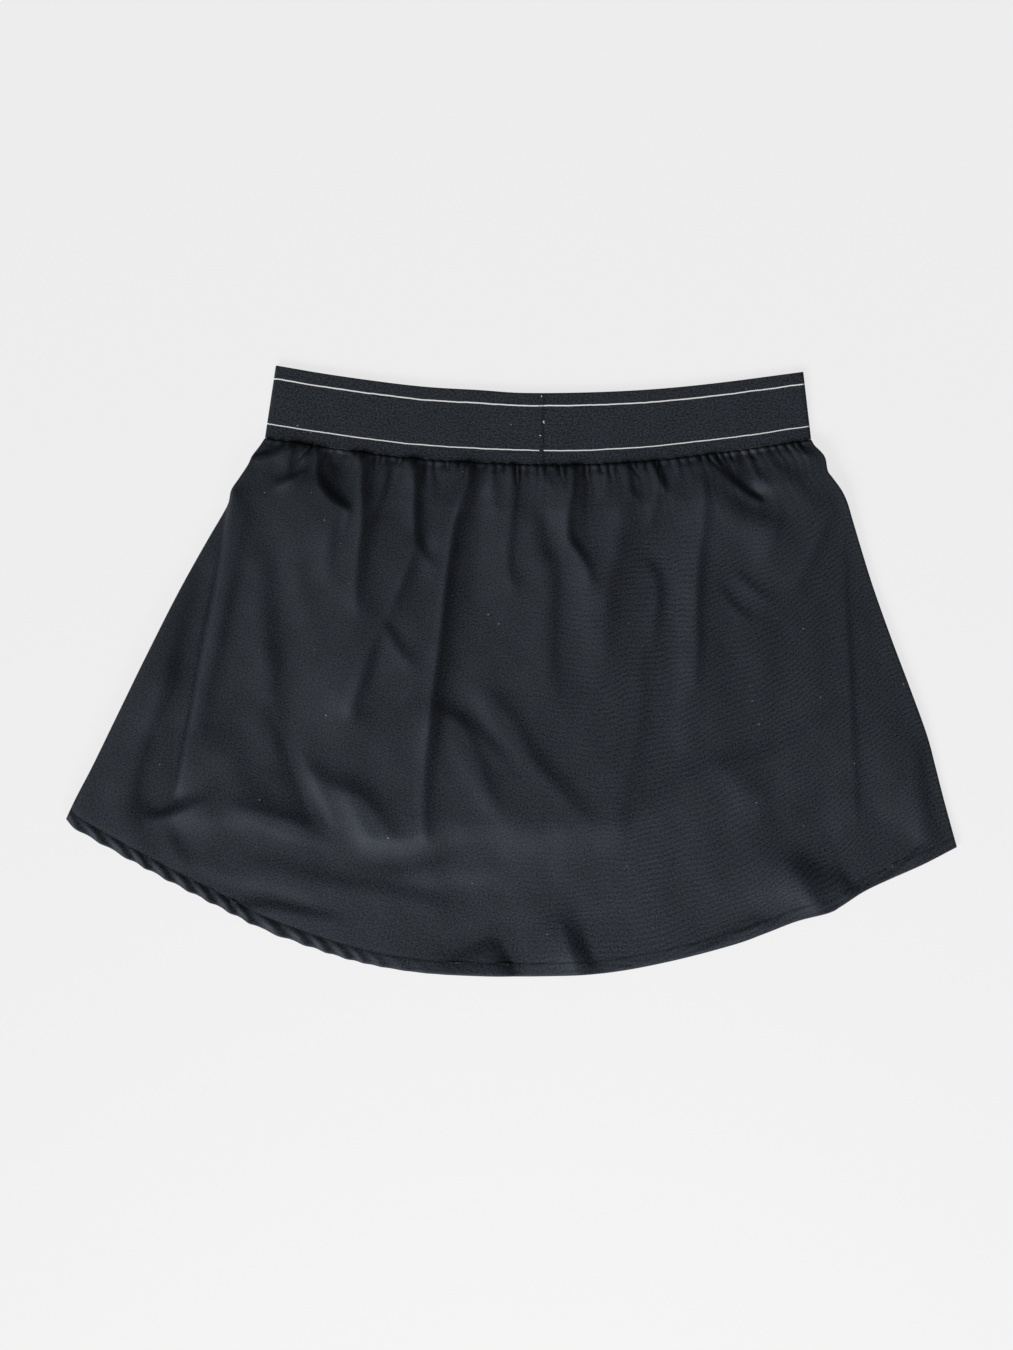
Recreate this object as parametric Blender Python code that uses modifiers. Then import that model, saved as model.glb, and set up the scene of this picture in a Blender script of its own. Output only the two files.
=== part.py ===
"""Athletic skirt, laid flat: a wide elastic waistband over two gathered panels.

The skirt lies on a surface at z = 0 with its back up. +X is the skirt's right as seen from above,
+Y points to its waist and +Z is up. The origin is at the middle of the bottom of its box.
Lengths in the tables are in millimetres; the meshes are in metres.
"""
import math

import bmesh
import bpy
import numpy as np

MM = 0.001

# --- Driving sizes, in millimetres -------------------------------------------
CLOTH = 1.3             # wall of the gathered cloth, measured straight up
HEM_CLOTH = 1.8         # wall of the turned hem
SEAM_GAP = 0.3          # space between neighbouring pieces
ELASTIC = 1.6           # thickness of the elastic
BAND_DEPTH = 4.0        # the flattened loop of elastic, both layers and the fold at its ends
BAND_RUNS = 30          # spaces along each layer of the loop
BAND_TURNS = 6          # spaces round the fold at each end
SKIRT_LENGTH = 321.0    # from the waistband's lower edge to the hem, at the middle
HEM_DEPTH = 8.5         # turned hem, from its stitch line to the edge
HEM_STEP = 0.8          # the cloth grows to the hem's thickness over this distance
FRONT_INSET = 1.2       # the lower panel stays this far inside the upper one

# --- Outline, seen from above, in millimetres --------------------------------
# Each list holds only the points that its bends need; a smooth curve runs through them.
BAND_TOP = [(-148.6, 192.3), (-110, 185.9), (-60, 179.4), (-20, 176.8), (8, 175.0),
            (50, 175.4), (90, 177.4), (130, 181.3), (184.0, 188.3)]
BAND_BOTTOM = [(-155.4, 147.2), (-110, 140.3), (-60, 134.2), (-10, 131.3), (32, 130.3),
               (69, 131.6), (94, 133.6), (119, 136.6), (150, 140.4), (188.9, 146.2)]
SIDE_LEFT = [(-155.4, 146.9), (-159.0, 141.5), (-163.5, 135.5), (-166, 130), (-171.2, 122),
             (-176.5, 114), (-178.2, 106), (-182.4, 98), (-193, 80), (-209.6, 50),
             (-229.8, 10), (-249.4, -30), (-264.1, -60), (-274.6, -80), (-280.8, -93.2)]
SIDE_RIGHT = [(188.9, 145.9), (191.2, 142), (195.2, 138), (197.8, 134), (199.4, 126),
              (202.2, 122), (208.0, 114), (211.8, 106), (215.4, 94), (222.6, 70), (229, 50),
              (239.7, 20), (251, -10), (261.9, -40), (267.3, -60), (272.4, -80), (280.8, -110.8)]
HEM = [(-280.8, -93.2), (-275, -99), (-260, -107.8), (-240, -119.1), (-210, -135.3),
       (-180, -150.9), (-160, -161.2), (-140, -169.2), (-100, -182.4), (-60, -189.8),
       (-20, -192.1), (20, -192.3), (60, -190.3), (100, -183), (140, -172.4), (160, -165.2),
       (180, -157.5), (200, -152.3), (208, -148), (222, -139), (240, -130.4), (260, -121.5),
       (280.8, -110.8)]

# --- Gathers -----------------------------------------------------------------
GATHERS = 62                    # on each panel, side by side under the elastic
UNEVEN_WIDTH = 0.28             # how far a gather's width strays from the mean
UNEVEN_HEIGHT = 0.22            # how far its crest stays below the highest one
WIDTH_TURNS = (2.39, 0.83)      # steps, in radians, that vary the widths from one to the next
HEIGHT_TURN = 1.7               # the same for the heights
BACK_PHASE = 0.4                # the two panels' gathers differ by where their variation starts
FRONT_PHASE = 2.1

# Rows of points across the upper panel. distance: from the waistband, at the middle;
# columns: points per gather; gather: crest height above the trough.
BACK_ROWS = [
    # distance, columns, gather
    (0.0, 4, 0.5),
    (3.0, 4, 1.5),
    (7.0, 4, 1.5),
    (13.0, 4, 0.8),
    (22.0, 2, 0.3),
    (33.0, 2, 0.0),
    (46.0, 2, 0.0),
    (60.0, 2, 0.0),
    (75.0, 2, 0.0),
    (90.0, 1, 0.0),
    (106.0, 1, 0.0),
    (122.0, 1, 0.0),
    (138.0, 1, 0.0),
    (155.0, 1, 0.0),
    (172.0, 1, 0.0),
    (189.0, 1, 0.0),
    (206.0, 1, 0.0),
    (223.0, 1, 0.0),
    (240.0, 1, 0.0),
    (258.0, 1, 0.0),
    (276.0, 1, 0.0),
    (295.0, 1, 0.0),
]
# The lower panel's rows; its gathers lift it off the surface near the waistband only.
FRONT_ROWS = [
    # distance, columns, gather
    (0.0, 4, 0.2),
    (7.0, 4, 1.1),
    (22.0, 2, 0.3),
    (48.0, 1, 0.0),
    (108.0, 1, 0.0),
    (174.0, 1, 0.0),
    (242.0, 1, 0.0),
]

# How far the upper panel arches over the lower one, without its folds.
ARCH = [
    # distance, height
    (0.0, 0.2),
    (8.0, 3.8),
    (30.0, 6.0),
    (60.0, 6.5),
    (100.0, 7.0),
    (150.0, 7.4),
    (200.0, 7.2),
    (228.0, 6.4),
    (250.0, 4.7),
    (270.0, 3.5),
    (290.0, 2.2),
    (321.0, 0.6),
]
# The arch is lower towards the sides.
ARCH_ACROSS = [
    # share across, from the left, share of the height
    (0.00, 0.45),
    (0.06, 0.70),
    (0.15, 0.90),
    (0.35, 1.00),
    (0.60, 0.95),
    (0.80, 0.70),
    (1.00, 0.25),
]
SEAM_REACH = 8.0        # the cloth comes down to its side seam over this distance
FOLD_START = 10.0       # the folds grow over this distance from the waistband
FOLD_STOP = 14.0        # and sink over this distance from the hem
HEM_FOLDS = 0.6         # to this share of their height
CONTACT_SOFTNESS = 0.8  # roundness where the upper panel comes down to the lower one

# --- Largest folds of the upper panel ----------------------------------------
FOLD_DEPTH = 1.45       # all slopes are this much steeper than in the table
LOW_SPREAD = 1.35       # and reach this much further on their low side
NARROWEST = 4.0         # narrower slopes are spread to this reach, for the same fall
FOLD_REACH = 34.0       # beyond this distance a slope no longer lifts or lowers the cloth
GRID_STEP = 2.0         # of the square grid on which the slopes are put together
GRID_X = (-300.0, 300.0)
GRID_Y = (-215.0, 170.0)

# Where the cloth slopes. Along each line it falls towards the line's left-hand side as it runs:
# to +X for a line that runs down the skirt, to the waist for one that runs to +X.
# The slope dies out over one reach on the high side and another on the low side.
SLOPES = [
    # name, slope at start, middle and end, reach on the high and low side, line
    ("a", (0.9, 1.1, 0.9), (3.0, 3.0), [(-126, 144), (-128, 134), (-131, 127)]),
    ("b", (0.9, 1.1, 0.8), (1.5, 2.3),
     [(-121, 144), (-121, 123), (-116.5, 113), (-110, 107), (-103, 102.6)]),
    ("b inside", (1.2, 0.9, 0.3), (5.0, 3.5), [(-114, 142), (-114, 132), (-112, 123)]),
    ("b tail", (0.9, 0.8, 0.15), (1.5, 1.8), [(-101, 102), (-104.5, 90), (-109, 82), (-114.5, 74)]),
    ("c", (0.9, 0.9, 0.4), (1.6, 6.5),
     [(-93.5, 141), (-93.5, 118), (-93, 103), (-93, 92), (-95, 78), (-96.5, 60), (-96.5, 42)]),
    ("c branch", (0.7, 0.8, 0.5), (2.5, 2.5), [(-77, 138), (-78, 122), (-82, 108), (-87, 99)]),
    ("e", (1.0, 1.0, 0.6), (1.8, 3.8),
     [(-59, 136), (-59.5, 115), (-60, 100), (-59.5, 86), (-56.5, 78), (-50, 71)]),
    ("e below", (0.3, 0.5, 0.3), (5.0, 5.0), [(-50, 68), (-54, 56), (-60, 46)]),
    ("f", (0.5, 0.9, 0.5), (3.5, 4.5), [(-62, 74), (-66.5, 60), (-70.5, 48), (-74, 38)]),
    ("f low", (0.4, 0.6, 0.5), (4.0, 4.0), [(-77, 34), (-84, 20), (-90, 4), (-95, -10), (-99, -24)]),
    ("g", (1.0, 1.0, 0.4), (1.9, 4.6),
     [(-26, 134), (-26, 120), (-30.5, 106), (-34.3, 94), (-37.5, 76), (-40, 58), (-41.8, 38),
      (-43.9, 18), (-46.3, 0), (-49, -20), (-51.3, -40), (-53, -65), (-54, -90), (-53, -104)]),
    ("g soft", (0.15, 0.15, 0.1), (6.0, 10.0), [(-28, 100), (-30, 60), (-34, 20), (-38, -10)]),
    ("g light", (0.15, 0.2, 0.2), (4.0, 3.5),
     [(-60, -90), (-58, -50), (-54, 0), (-49, 40), (-44, 75), (-37, 110)]),
    ("k", (0.6, 0.5, 0.3), (2.5, 2.5), [(-10, 132), (-9.5, 104)]),
    ("l", (0.7, 0.5, 0.3), (2.5, 3.0),
     [(3, 133), (3, 112), (1.5, 95), (-0.5, 78), (0, 64), (2, 56)]),
    ("n", (0.35, 0.4, 0.25), (6.0, 4.0),
     [(17.5, 96), (21, 78), (26.5, 66), (28, 50), (27, 30), (27.5, 10), (29, -8)]),
    ("o", (0.85, 0.75, 0.4), (1.8, 3.6),
     [(41, 132), (39.5, 116), (37, 100), (37.5, 84), (43, 75), (48.5, 66), (50.5, 58)]),
    ("p", (0.55, 0.5, 0.4), (1.5, 3.0), [(74, 133), (75, 116), (78, 110)]),
    ("p dark", (0.2, 0.25, 0.2), (8.0, 8.0), [(84, 131), (84, 112), (81, 96)]),
    ("p low", (0.4, 0.5, 0.25), (6.0, 8.0), [(73, 108), (72, 92), (70, 78), (66, 62), (63, 45)]),
    ("q", (0.85, 0.85, 0.7), (1.2, 3.0), [(89, 135), (93, 123), (97, 115)]),
    ("q toe", (0.6, 0.6, 0.3), (6.0, 1.5), [(98, 116), (97, 107), (94, 98), (90, 90)]),
    ("s", (0.25, 0.5, 0.25), (3.0, 3.5), [(88, 67), (92.5, 59), (93.5, 45), (92, 30), (90, 18)]),
    ("t", (0.5, 0.5, 0.3), (2.2, 4.0),
     [(122, 118), (122.5, 95), (119.5, 72), (118, 42), (118, 10), (116.5, -8)]),
    ("t soft", (0.12, 0.12, 0.08), (6.0, 14.0), [(130, 105), (130, 70), (128, 40)]),
    ("t light", (0.10, 0.16, 0.12), (6.0, 6.0), [(108, -15), (109, 35), (112, 85)]),
    ("u", (0.15, 0.7, 1.1), (2.8, 1.2),
     [(131, 130), (137, 123), (143.5, 117.5), (150, 112.5), (157, 108.6)]),
    ("waist right", (0.2, 0.4, 0.4), (6.0, 6.0), [(120, 132), (150, 135), (185, 141)]),
    ("u soft", (0.4, 0.45, 0.3), (6.0, 7.0), [(131, 142), (134, 130), (142, 120)]),
    ("u back", (0.3, 0.5, 0.4), (8.0, 8.0), [(137, 124), (150, 124), (164, 125)]),
    ("u fill", (0.25, 0.4, 0.3), (9.0, 5.0), [(126, 122), (137, 111), (150, 102), (160, 97)]),
    ("v", (0.35, 0.4, 0.3), (1.2, 2.2), [(147.5, 142), (151.5, 131), (155, 124.5), (159, 119.5)]),
    ("w two", (0.8, 0.8, 0.6), (1.5, 2.0), [(176, 147), (183, 139.5), (190, 137)]),
    ("x", (0.25, 0.35, 0.25), (3.0, 4.0), [(203, 102), (195, 84), (187, 67), (182, 56)]),
    ("y", (0.08, 0.35, 0.2), (1.6, 1.6),
     [(210.5, 95), (210.5, 70), (211.5, 40), (214, 0), (215.5, -40), (218, -85), (219, -98)]),
    ("corner strip", (0.15, 0.25, 0.25), (5.0, 8.0), [(256, -45), (260, -75), (264, -100)]),
    ("side light", (0.8, 1.9, 3.2), (1.3, 1.0),
     [(-212, -74), (-206, -45), (-202, -25), (-197.7, 0), (-193, 25), (-187.5, 50), (-182.5, 75),
      (-179.5, 95), (-176, 112)]),
    ("side dark", (0.15, 0.6, 0.5), (4.5, 4.5),
     [(-166, 100), (-170, 80), (-174.5, 60), (-179, 35), (-184, 10), (-190, -12), (-195, -32)]),
    ("strip dark", (0.3, 0.8, 0.4), (5.0, 5.0),
     [(-199, 60), (-206, 35), (-212, 10), (-217, -14), (-224, -32), (-230, -48), (-236, -62)]),
    ("left dip", (0.2, 0.35, 0.2), (6.0, 6.0),
     [(-158, 60), (-159, 40), (-156, 20), (-151, 0), (-150, -20)]),
    ("triangle side", (0.2, 0.3, 0.3), (12.0, 1.5),
     [(-155, -22), (-149, -38), (-143, -54), (-136.5, -72), (-129, -92)]),
    ("triangle", (0.3, 0.45, 0.3), (12.0, 12.0), [(-166, -45), (-159, -65), (-151, -80)]),
    ("triangle foot", (0.2, 0.3, 0.35), (1.5, 7.0),
     [(-172, -85), (-155, -89), (-140, -93.5), (-130, -98)]),
    ("left patch", (0.3, 0.8, 0.3), (2.0, 6.0),
     [(-228, -92), (-217, -90), (-206, -86), (-196, -82)]),
    ("low band", (0.12, 0.2, 0.15), (5.0, 5.0),
     [(-160, -120), (-138, -125), (-115, -131), (-90, -135), (-70, -138), (-45, -145)]),
    ("low arch", (0.25, 0.3, 0.2), (3.0, 7.0),
     [(-124, -62), (-114, -70), (-102, -74), (-91, -80), (-81, -93), (-75, -101)]),
    ("low arch light", (0.12, 0.2, 0.18), (4.0, 7.0),
     [(-48, -106), (-70, -110), (-90, -108), (-99, -95), (-106, -80)]),
    ("h", (0.25, 0.25, 0.15), (3.0, 4.0),
     [(-45, -24), (-34, -30), (-26, -40), (-20, -54), (-15, -68), (-8, -84)]),
    ("i", (0.2, 0.28, 0.12), (4.0, 5.5),
     [(-9, -16), (3, -31), (10, -44), (17, -57), (28, -69), (39, -81), (47, -90)]),
    ("j", (0.12, 0.2, 0.2), (4.0, 6.0), [(84, 10), (83, -25), (79, -50), (73, -80), (70, -100)]),
    ("lower light", (0.1, 0.12, 0.1), (8.0, 12.0), [(60, -104), (20, -108), (-20, -106), (-48, -104)]),
    ("mid hem", (0.4, 0.6, 0.6), (12.0, 1.5), [(-8, -164), (-4, -174), (-1, -184), (1, -193)]),
    ("mid hem soft", (0.3, 0.4, 0.35), (6.0, 5.0), [(-36, -181), (-24, -176), (-10, -170)]),
    ("mid hem edge", (0.35, 0.5, 0.4), (7.0, 6.0), [(-40, -189), (-22, -187), (-4, -185)]),
    ("mid hem two", (0.3, 0.4, 0.3), (2.0, 8.0), [(33, -161), (36, -172), (40, -183), (42, -193)]),
    ("mid hem two soft", (0.35, 0.5, 0.45), (7.0, 6.0), [(43, -168), (49, -180), (54, -190)]),
    ("right drape", (0.08, 0.12, 0.08), (7.0, 7.0),
     [(70, -98), (95, -74), (125, -58), (165, -50), (195, -30)]),
    ("right drape three", (0.08, 0.12, 0.1), (12.0, 12.0), [(150, -120), (175, -95), (205, -75)]),
    ("right hem patch", (0.2, 0.3, 0.3), (1.8, 10.0),
     [(174, -125), (182, -134), (190, -143), (197, -152)]),
    ("right hem soft", (0.2, 0.3, 0.25), (9.0, 9.0), [(180, -120), (199, -128), (222, -134)]),
    ("right hem side", (0.25, 0.3, 0.3), (6.0, 5.0), [(206, -114), (212, -126), (215, -138)]),
    ("right low", (0.02, 0.035, 0.03), (35.0, 35.0), [(50, -150), (110, -142), (170, -118)]),
    ("mid low", (0.02, 0.03, 0.02), (30.0, 30.0), [(45, -120), (-40, -128), (-110, -132)]),
    ("right hem lens", (0.5, 0.8, 0.5), (2.0, 3.5), [(236, -132), (246, -122.5), (257, -113)]),
]

# --- Turned hem ----------------------------------------------------------------
# Where its slanted ropes lie lowest at the edge, from the left; the last two are far apart, for
# the hem is plain between them.
ROPES = (-284, -270, -255, -239, -227.5, -213.5, -200, -187, -173.7, -162, -142, -126.5, -113.5,
         -100.5, -90, -79, -64, -50, -38, 0, 281)
ROPE_LEAN = 7.5         # how much further left a rope starts at the stitch line
ROPE_HEIGHT = 1.5       # crest over trough where the ropes are strongest
ROPE_FALL = 0.42        # share of the space between ropes over which one falls
ROPE_REST = 0.12        # share over which it lies low, before it rises again
ROPE_STRENGTH = [
    # x, strength
    (-281, 0.5),
    (-262, 0.9),
    (-150, 1.0),
    (-120, 0.8),
    (-90, 0.4),
    (-60, 0.15),
    (-30, 0.0),
    (281, 0.0),
]

# --- Finish ------------------------------------------------------------------
CLOTH_COLOUR = (0.024, 0.027, 0.034, 1.0)
ELASTIC_COLOUR = (0.026, 0.029, 0.035, 1.0)


def smooth_curve(points, steps=12):
    """Points along a Catmull-Rom curve through the given ones."""
    knots = np.array(points, float)
    before = 2.0 * knots[0] - knots[1]
    after = 2.0 * knots[-1] - knots[-2]
    knots = np.vstack([before, knots, after])
    curve = []
    for a, b, c, d in zip(knots, knots[1:], knots[2:], knots[3:]):
        for t in np.arange(steps) / steps:
            curve.append(0.5 * (2.0 * b + (c - a) * t + (2.0 * a - 5.0 * b + 4.0 * c - d) * t ** 2
                                + (3.0 * b - 3.0 * c + d - a) * t ** 3))
    curve.append(knots[-2])
    return np.array(curve)


class Line:
    """A smooth line in the plan, read by its share of the length from 0 to 1."""

    def __init__(self, points, steps=12):
        self.curve = smooth_curve(points, steps)
        runs = np.hypot(*np.diff(self.curve, axis=0).T)
        self.reach = np.concatenate([[0.0], np.cumsum(runs)])
        self.length = self.reach[-1]

    def at(self, share):
        """The point at a share of the length."""
        along = np.asarray(share, float) * self.length
        return np.stack([np.interp(along, self.reach, self.curve[:, axis]) for axis in (0, 1)],
                        axis=-1)

    def nearest(self, plan):
        """For each point: distance, share along the line, the line's left, distance to that side."""
        gap = np.full(len(plan), np.inf)
        along = np.zeros(len(plan))
        left = np.zeros((len(plan), 2))
        side = np.zeros(len(plan))
        for start, run, reach in zip(self.curve, np.diff(self.curve, axis=0), self.reach):
            length = math.hypot(*run)
            across = np.array([-run[1], run[0]]) / length
            offset = plan - start
            share = np.clip(offset @ run / length ** 2, 0.0, 1.0)
            here = np.hypot(*(offset - share[:, None] * run).T)
            nearer = here < gap
            gap[nearer] = here[nearer]
            along[nearer] = (reach + share[nearer] * length) / self.length
            left[nearer] = across
            side[nearer] = (offset @ across)[nearer]
        return gap, along, left, side


def smooth_step(value):
    """0 below 0 and 1 above 1, with a soft turn between."""
    value = np.clip(value, 0.0, 1.0)
    return value * value * (3.0 - 2.0 * value)


def add_slope(slope_x, slope_y, grid_x, grid_y, row):
    """Add one row of the table to the grids of slopes."""
    _, steepness, reaches, points = row
    line = Line(points, 5)
    high_reach = max(reaches[0], NARROWEST)
    low_reach = max(LOW_SPREAD * reaches[1], NARROWEST)
    spread = (reaches[0] + LOW_SPREAD * reaches[1]) / (high_reach + low_reach)
    margin = 3.0 * max(high_reach, low_reach)
    near = line.curve.min(axis=0) - margin
    far = line.curve.max(axis=0) + margin
    columns = slice(*np.searchsorted(grid_x, (near[0], far[0])))
    rows = slice(*np.searchsorted(grid_y, (near[1], far[1])))
    plan = np.stack(np.meshgrid(grid_x[columns], grid_y[rows]), axis=-1)
    gap, along, left, side = line.nearest(plan.reshape(-1, 2))
    reach = np.where(side > 0.0, low_reach, high_reach)
    past_end = np.maximum(gap ** 2 - side ** 2, 0.0)
    fall = FOLD_DEPTH * spread * np.interp(along, (0.0, 0.5, 1.0), steepness)
    fall = fall * np.exp(-(side / reach) ** 2 - past_end / (high_reach * low_reach))
    slope_x[rows, columns] -= (fall * left[:, 0]).reshape(plan.shape[:2])
    slope_y[rows, columns] -= (fall * left[:, 1]).reshape(plan.shape[:2])


def settled_folds():
    """The cloth's rise and fall on a square grid, from all its slopes together.

    The heights are those whose slopes come nearest to the asked ones, while the cloth is also
    drawn back to its arch over the reach of a fold.
    """
    grid_x = np.arange(*GRID_X, GRID_STEP)
    grid_y = np.arange(*GRID_Y, GRID_STEP)
    slope_x = np.zeros((len(grid_y), len(grid_x)))
    slope_y = np.zeros_like(slope_x)
    for row in SLOPES:
        add_slope(slope_x, slope_y, grid_x, grid_y, row)
    bend = np.gradient(slope_x, GRID_STEP, axis=1) + np.gradient(slope_y, GRID_STEP, axis=0)
    mirrored = np.block([[bend, bend[:, ::-1]], [bend[::-1], bend[::-1, ::-1]]])
    tall, wide = mirrored.shape
    wave_x = 2.0 * math.pi * np.fft.fftfreq(wide, GRID_STEP)[None]
    wave_y = 2.0 * math.pi * np.fft.fftfreq(tall, GRID_STEP)[:, None]
    pull = wave_x ** 2 + wave_y ** 2 + 1.0 / FOLD_REACH ** 2
    heights = np.fft.ifft2(-np.fft.fft2(mirrored) / pull).real
    return heights[:tall // 2, :wide // 2]


def read_grid(heights, plan):
    """Heights of the grid at plan points."""
    column = np.clip((plan[:, 0] - GRID_X[0]) / GRID_STEP, 0.0, heights.shape[1] - 1.001)
    row = np.clip((plan[:, 1] - GRID_Y[0]) / GRID_STEP, 0.0, heights.shape[0] - 1.001)
    i = column.astype(int)
    j = row.astype(int)
    a = column - i
    b = row - j
    return ((1.0 - b) * ((1.0 - a) * heights[j, i] + a * heights[j, i + 1])
            + b * ((1.0 - a) * heights[j + 1, i] + a * heights[j + 1, i + 1]))


def gather_shares(phase):
    """Where each gather starts across the panel, from 0 to 1, with uneven widths."""
    quick, slow = WIDTH_TURNS
    count = np.arange(GATHERS)
    widths = 1.0 + UNEVEN_WIDTH * (np.sin(quick * count + phase) + 0.6 * np.sin(slow * count))
    return np.concatenate([[0.0], np.cumsum(widths) / widths.sum()])


def column_shares(phase, per_gather):
    """The shares across the panel of a row's points."""
    starts = gather_shares(phase)
    steps = np.arange(per_gather) / per_gather
    inside = starts[:-1, None] + np.diff(starts)[:, None] * steps
    return np.append(inside.ravel(), 1.0)


def gather_wave(per_gather, phase):
    """Height share of each point of a row: 0 in a trough, up to 1 on a crest."""
    steps = np.arange(per_gather) / per_gather
    crest = 0.5 - 0.5 * np.cos(2.0 * math.pi * steps)
    variation = np.sin(HEIGHT_TURN * np.arange(GATHERS) + phase)
    strength = 1.0 - UNEVEN_HEIGHT + UNEVEN_HEIGHT * variation
    return np.append((strength[:, None] * crest).ravel(), 0.0)


class Panel:
    """A skirt panel's plan: the patch between waistband, side seams and hem."""

    def __init__(self):
        waist = [(x, y - SEAM_GAP) for x, y in BAND_BOTTOM]
        self.top = Line(waist)
        self.left = Line([waist[0]] + SIDE_LEFT[1:])
        self.right = Line([waist[-1]] + SIDE_RIGHT[1:])
        self.hem = Line(HEM)

    def plan(self, across, down):
        """The plan point at shares across and down the panel (a Coons patch)."""
        across = across[:, None]
        top = self.top.at(across[:, 0])
        hem = self.hem.at(across[:, 0])
        left = self.left.at(down)
        right = self.right.at(down)
        ruled = (1.0 - down) * top + down * hem + (1.0 - across) * left + across * right
        corners = ((1.0 - down) * ((1.0 - across) * self.top.at(0.0) + across * self.top.at(1.0))
                   + down * ((1.0 - across) * self.hem.at(0.0) + across * self.hem.at(1.0)))
        return ruled - corners


def front_lift(distance):
    """Highest lift of the lower panel's gathers at a distance from the waistband."""
    table = np.array(FRONT_ROWS)
    return np.interp(distance, table[:, 0], table[:, 2])


def arch_height(across, distance):
    """Arch of the upper panel over the lower one."""
    down = np.array(ARCH)
    sideways = np.array(ARCH_ACROSS)
    return np.interp(distance, down[:, 0], down[:, 1]) * np.interp(across, sideways[:, 0],
                                                                   sideways[:, 1])


def hem_ropes(x, inside):
    """Height share of the turned hem's slanted ropes; inside is the distance from the edge."""
    at_edge = x + ROPE_LEAN * inside / HEM_DEPTH
    turn = np.interp(at_edge, ROPES, np.arange(len(ROPES)))
    place = (turn + 0.5 * ROPE_FALL) % 1.0
    falling = 1.0 - smooth_step(place / ROPE_FALL)
    rising = smooth_step((place - ROPE_FALL - ROPE_REST) / (1.0 - ROPE_FALL - ROPE_REST))
    return falling + rising


def back_row(panel, folds, distance, per_gather, crest, thickness):
    """One row of the upper panel: plan points, underside and top heights."""
    across = column_shares(BACK_PHASE, per_gather)
    plan = panel.plan(across, distance / SKIRT_LENGTH)
    width = np.hypot(*(plan[-1] - plan[0]))
    from_side = smooth_step(np.minimum(across, 1.0 - across) * width / SEAM_REACH)
    from_hem = SKIRT_LENGTH - distance
    share = smooth_step(distance / FOLD_START)
    share *= HEM_FOLDS + (1.0 - HEM_FOLDS) * smooth_step(from_hem / FOLD_STOP)
    raised = arch_height(across, distance) + share * read_grid(folds, plan)
    # The cloth never sinks into the panel that it lies on.
    raised = 0.5 * (raised + np.sqrt(raised ** 2 + CONTACT_SOFTNESS ** 2))
    raised = (raised + crest * gather_wave(per_gather, BACK_PHASE)) * from_side
    strength = np.array(ROPE_STRENGTH)
    ropes = hem_ropes(plan[:, 0], from_hem) * smooth_step(1.0 - from_hem / HEM_DEPTH)
    ropes = ropes * np.interp(plan[:, 0], strength[:, 0], strength[:, 1]) * from_side
    under = CLOTH + SEAM_GAP + front_lift(distance) + raised + ROPE_HEIGHT * ropes
    return plan, under, under + thickness


def front_row(panel, distance, per_gather, crest, thickness):
    """One row of the lower panel, which lies flat but for its gathers."""
    across = column_shares(FRONT_PHASE, per_gather)
    down = distance / SKIRT_LENGTH
    width = np.hypot(*(panel.left.at(down) - panel.right.at(down)))
    inset = FRONT_INSET / width
    plan = panel.plan(inset + across * (1.0 - 2.0 * inset), down)
    under = crest * gather_wave(per_gather, FRONT_PHASE)
    return plan, under, under + thickness


def strip(mesh, upper, lower):
    """Faces between two rows, of which either may have twice as many spaces as the other."""
    fine, coarse = (upper, lower) if len(upper) >= len(lower) else (lower, upper)
    ratio = (len(fine) - 1) // (len(coarse) - 1)
    for column, (left, right) in enumerate(zip(coarse, coarse[1:])):
        run = fine[column * ratio:(column + 1) * ratio + 1]
        if ratio == 1:
            mesh.faces.new((run[0], left, right, run[1]))
        else:
            mesh.faces.new((run[0], left, run[1]))
            mesh.faces.new((run[1], left, right))
            mesh.faces.new((run[1], right, run[2]))


def cloth_wall(name, rows, material):
    """A closed wall lofted through rows of plan points, undersides and tops."""
    mesh = bmesh.new()
    under = []
    top = []
    for plan, low, high in rows:
        under.append([mesh.verts.new((x * MM, y * MM, z * MM)) for (x, y), z in zip(plan, low)])
        top.append([mesh.verts.new((x * MM, y * MM, z * MM)) for (x, y), z in zip(plan, high)])
    for sheet in (under, top):
        for upper, lower in zip(sheet, sheet[1:]):
            strip(mesh, upper, lower)
    rims = [(under[0], top[0]), (under[-1], top[-1])]
    for side in (0, -1):
        rims.append(([row[side] for row in under], [row[side] for row in top]))
    for low, high in rims:
        for a, b, c, d in zip(low, low[1:], high[1:], high):
            mesh.faces.new((a, b, c, d))
    bmesh.ops.triangulate(mesh, faces=mesh.faces[:])
    bmesh.ops.recalc_face_normals(mesh, faces=mesh.faces[:])
    return finished(name, mesh, material)


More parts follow.
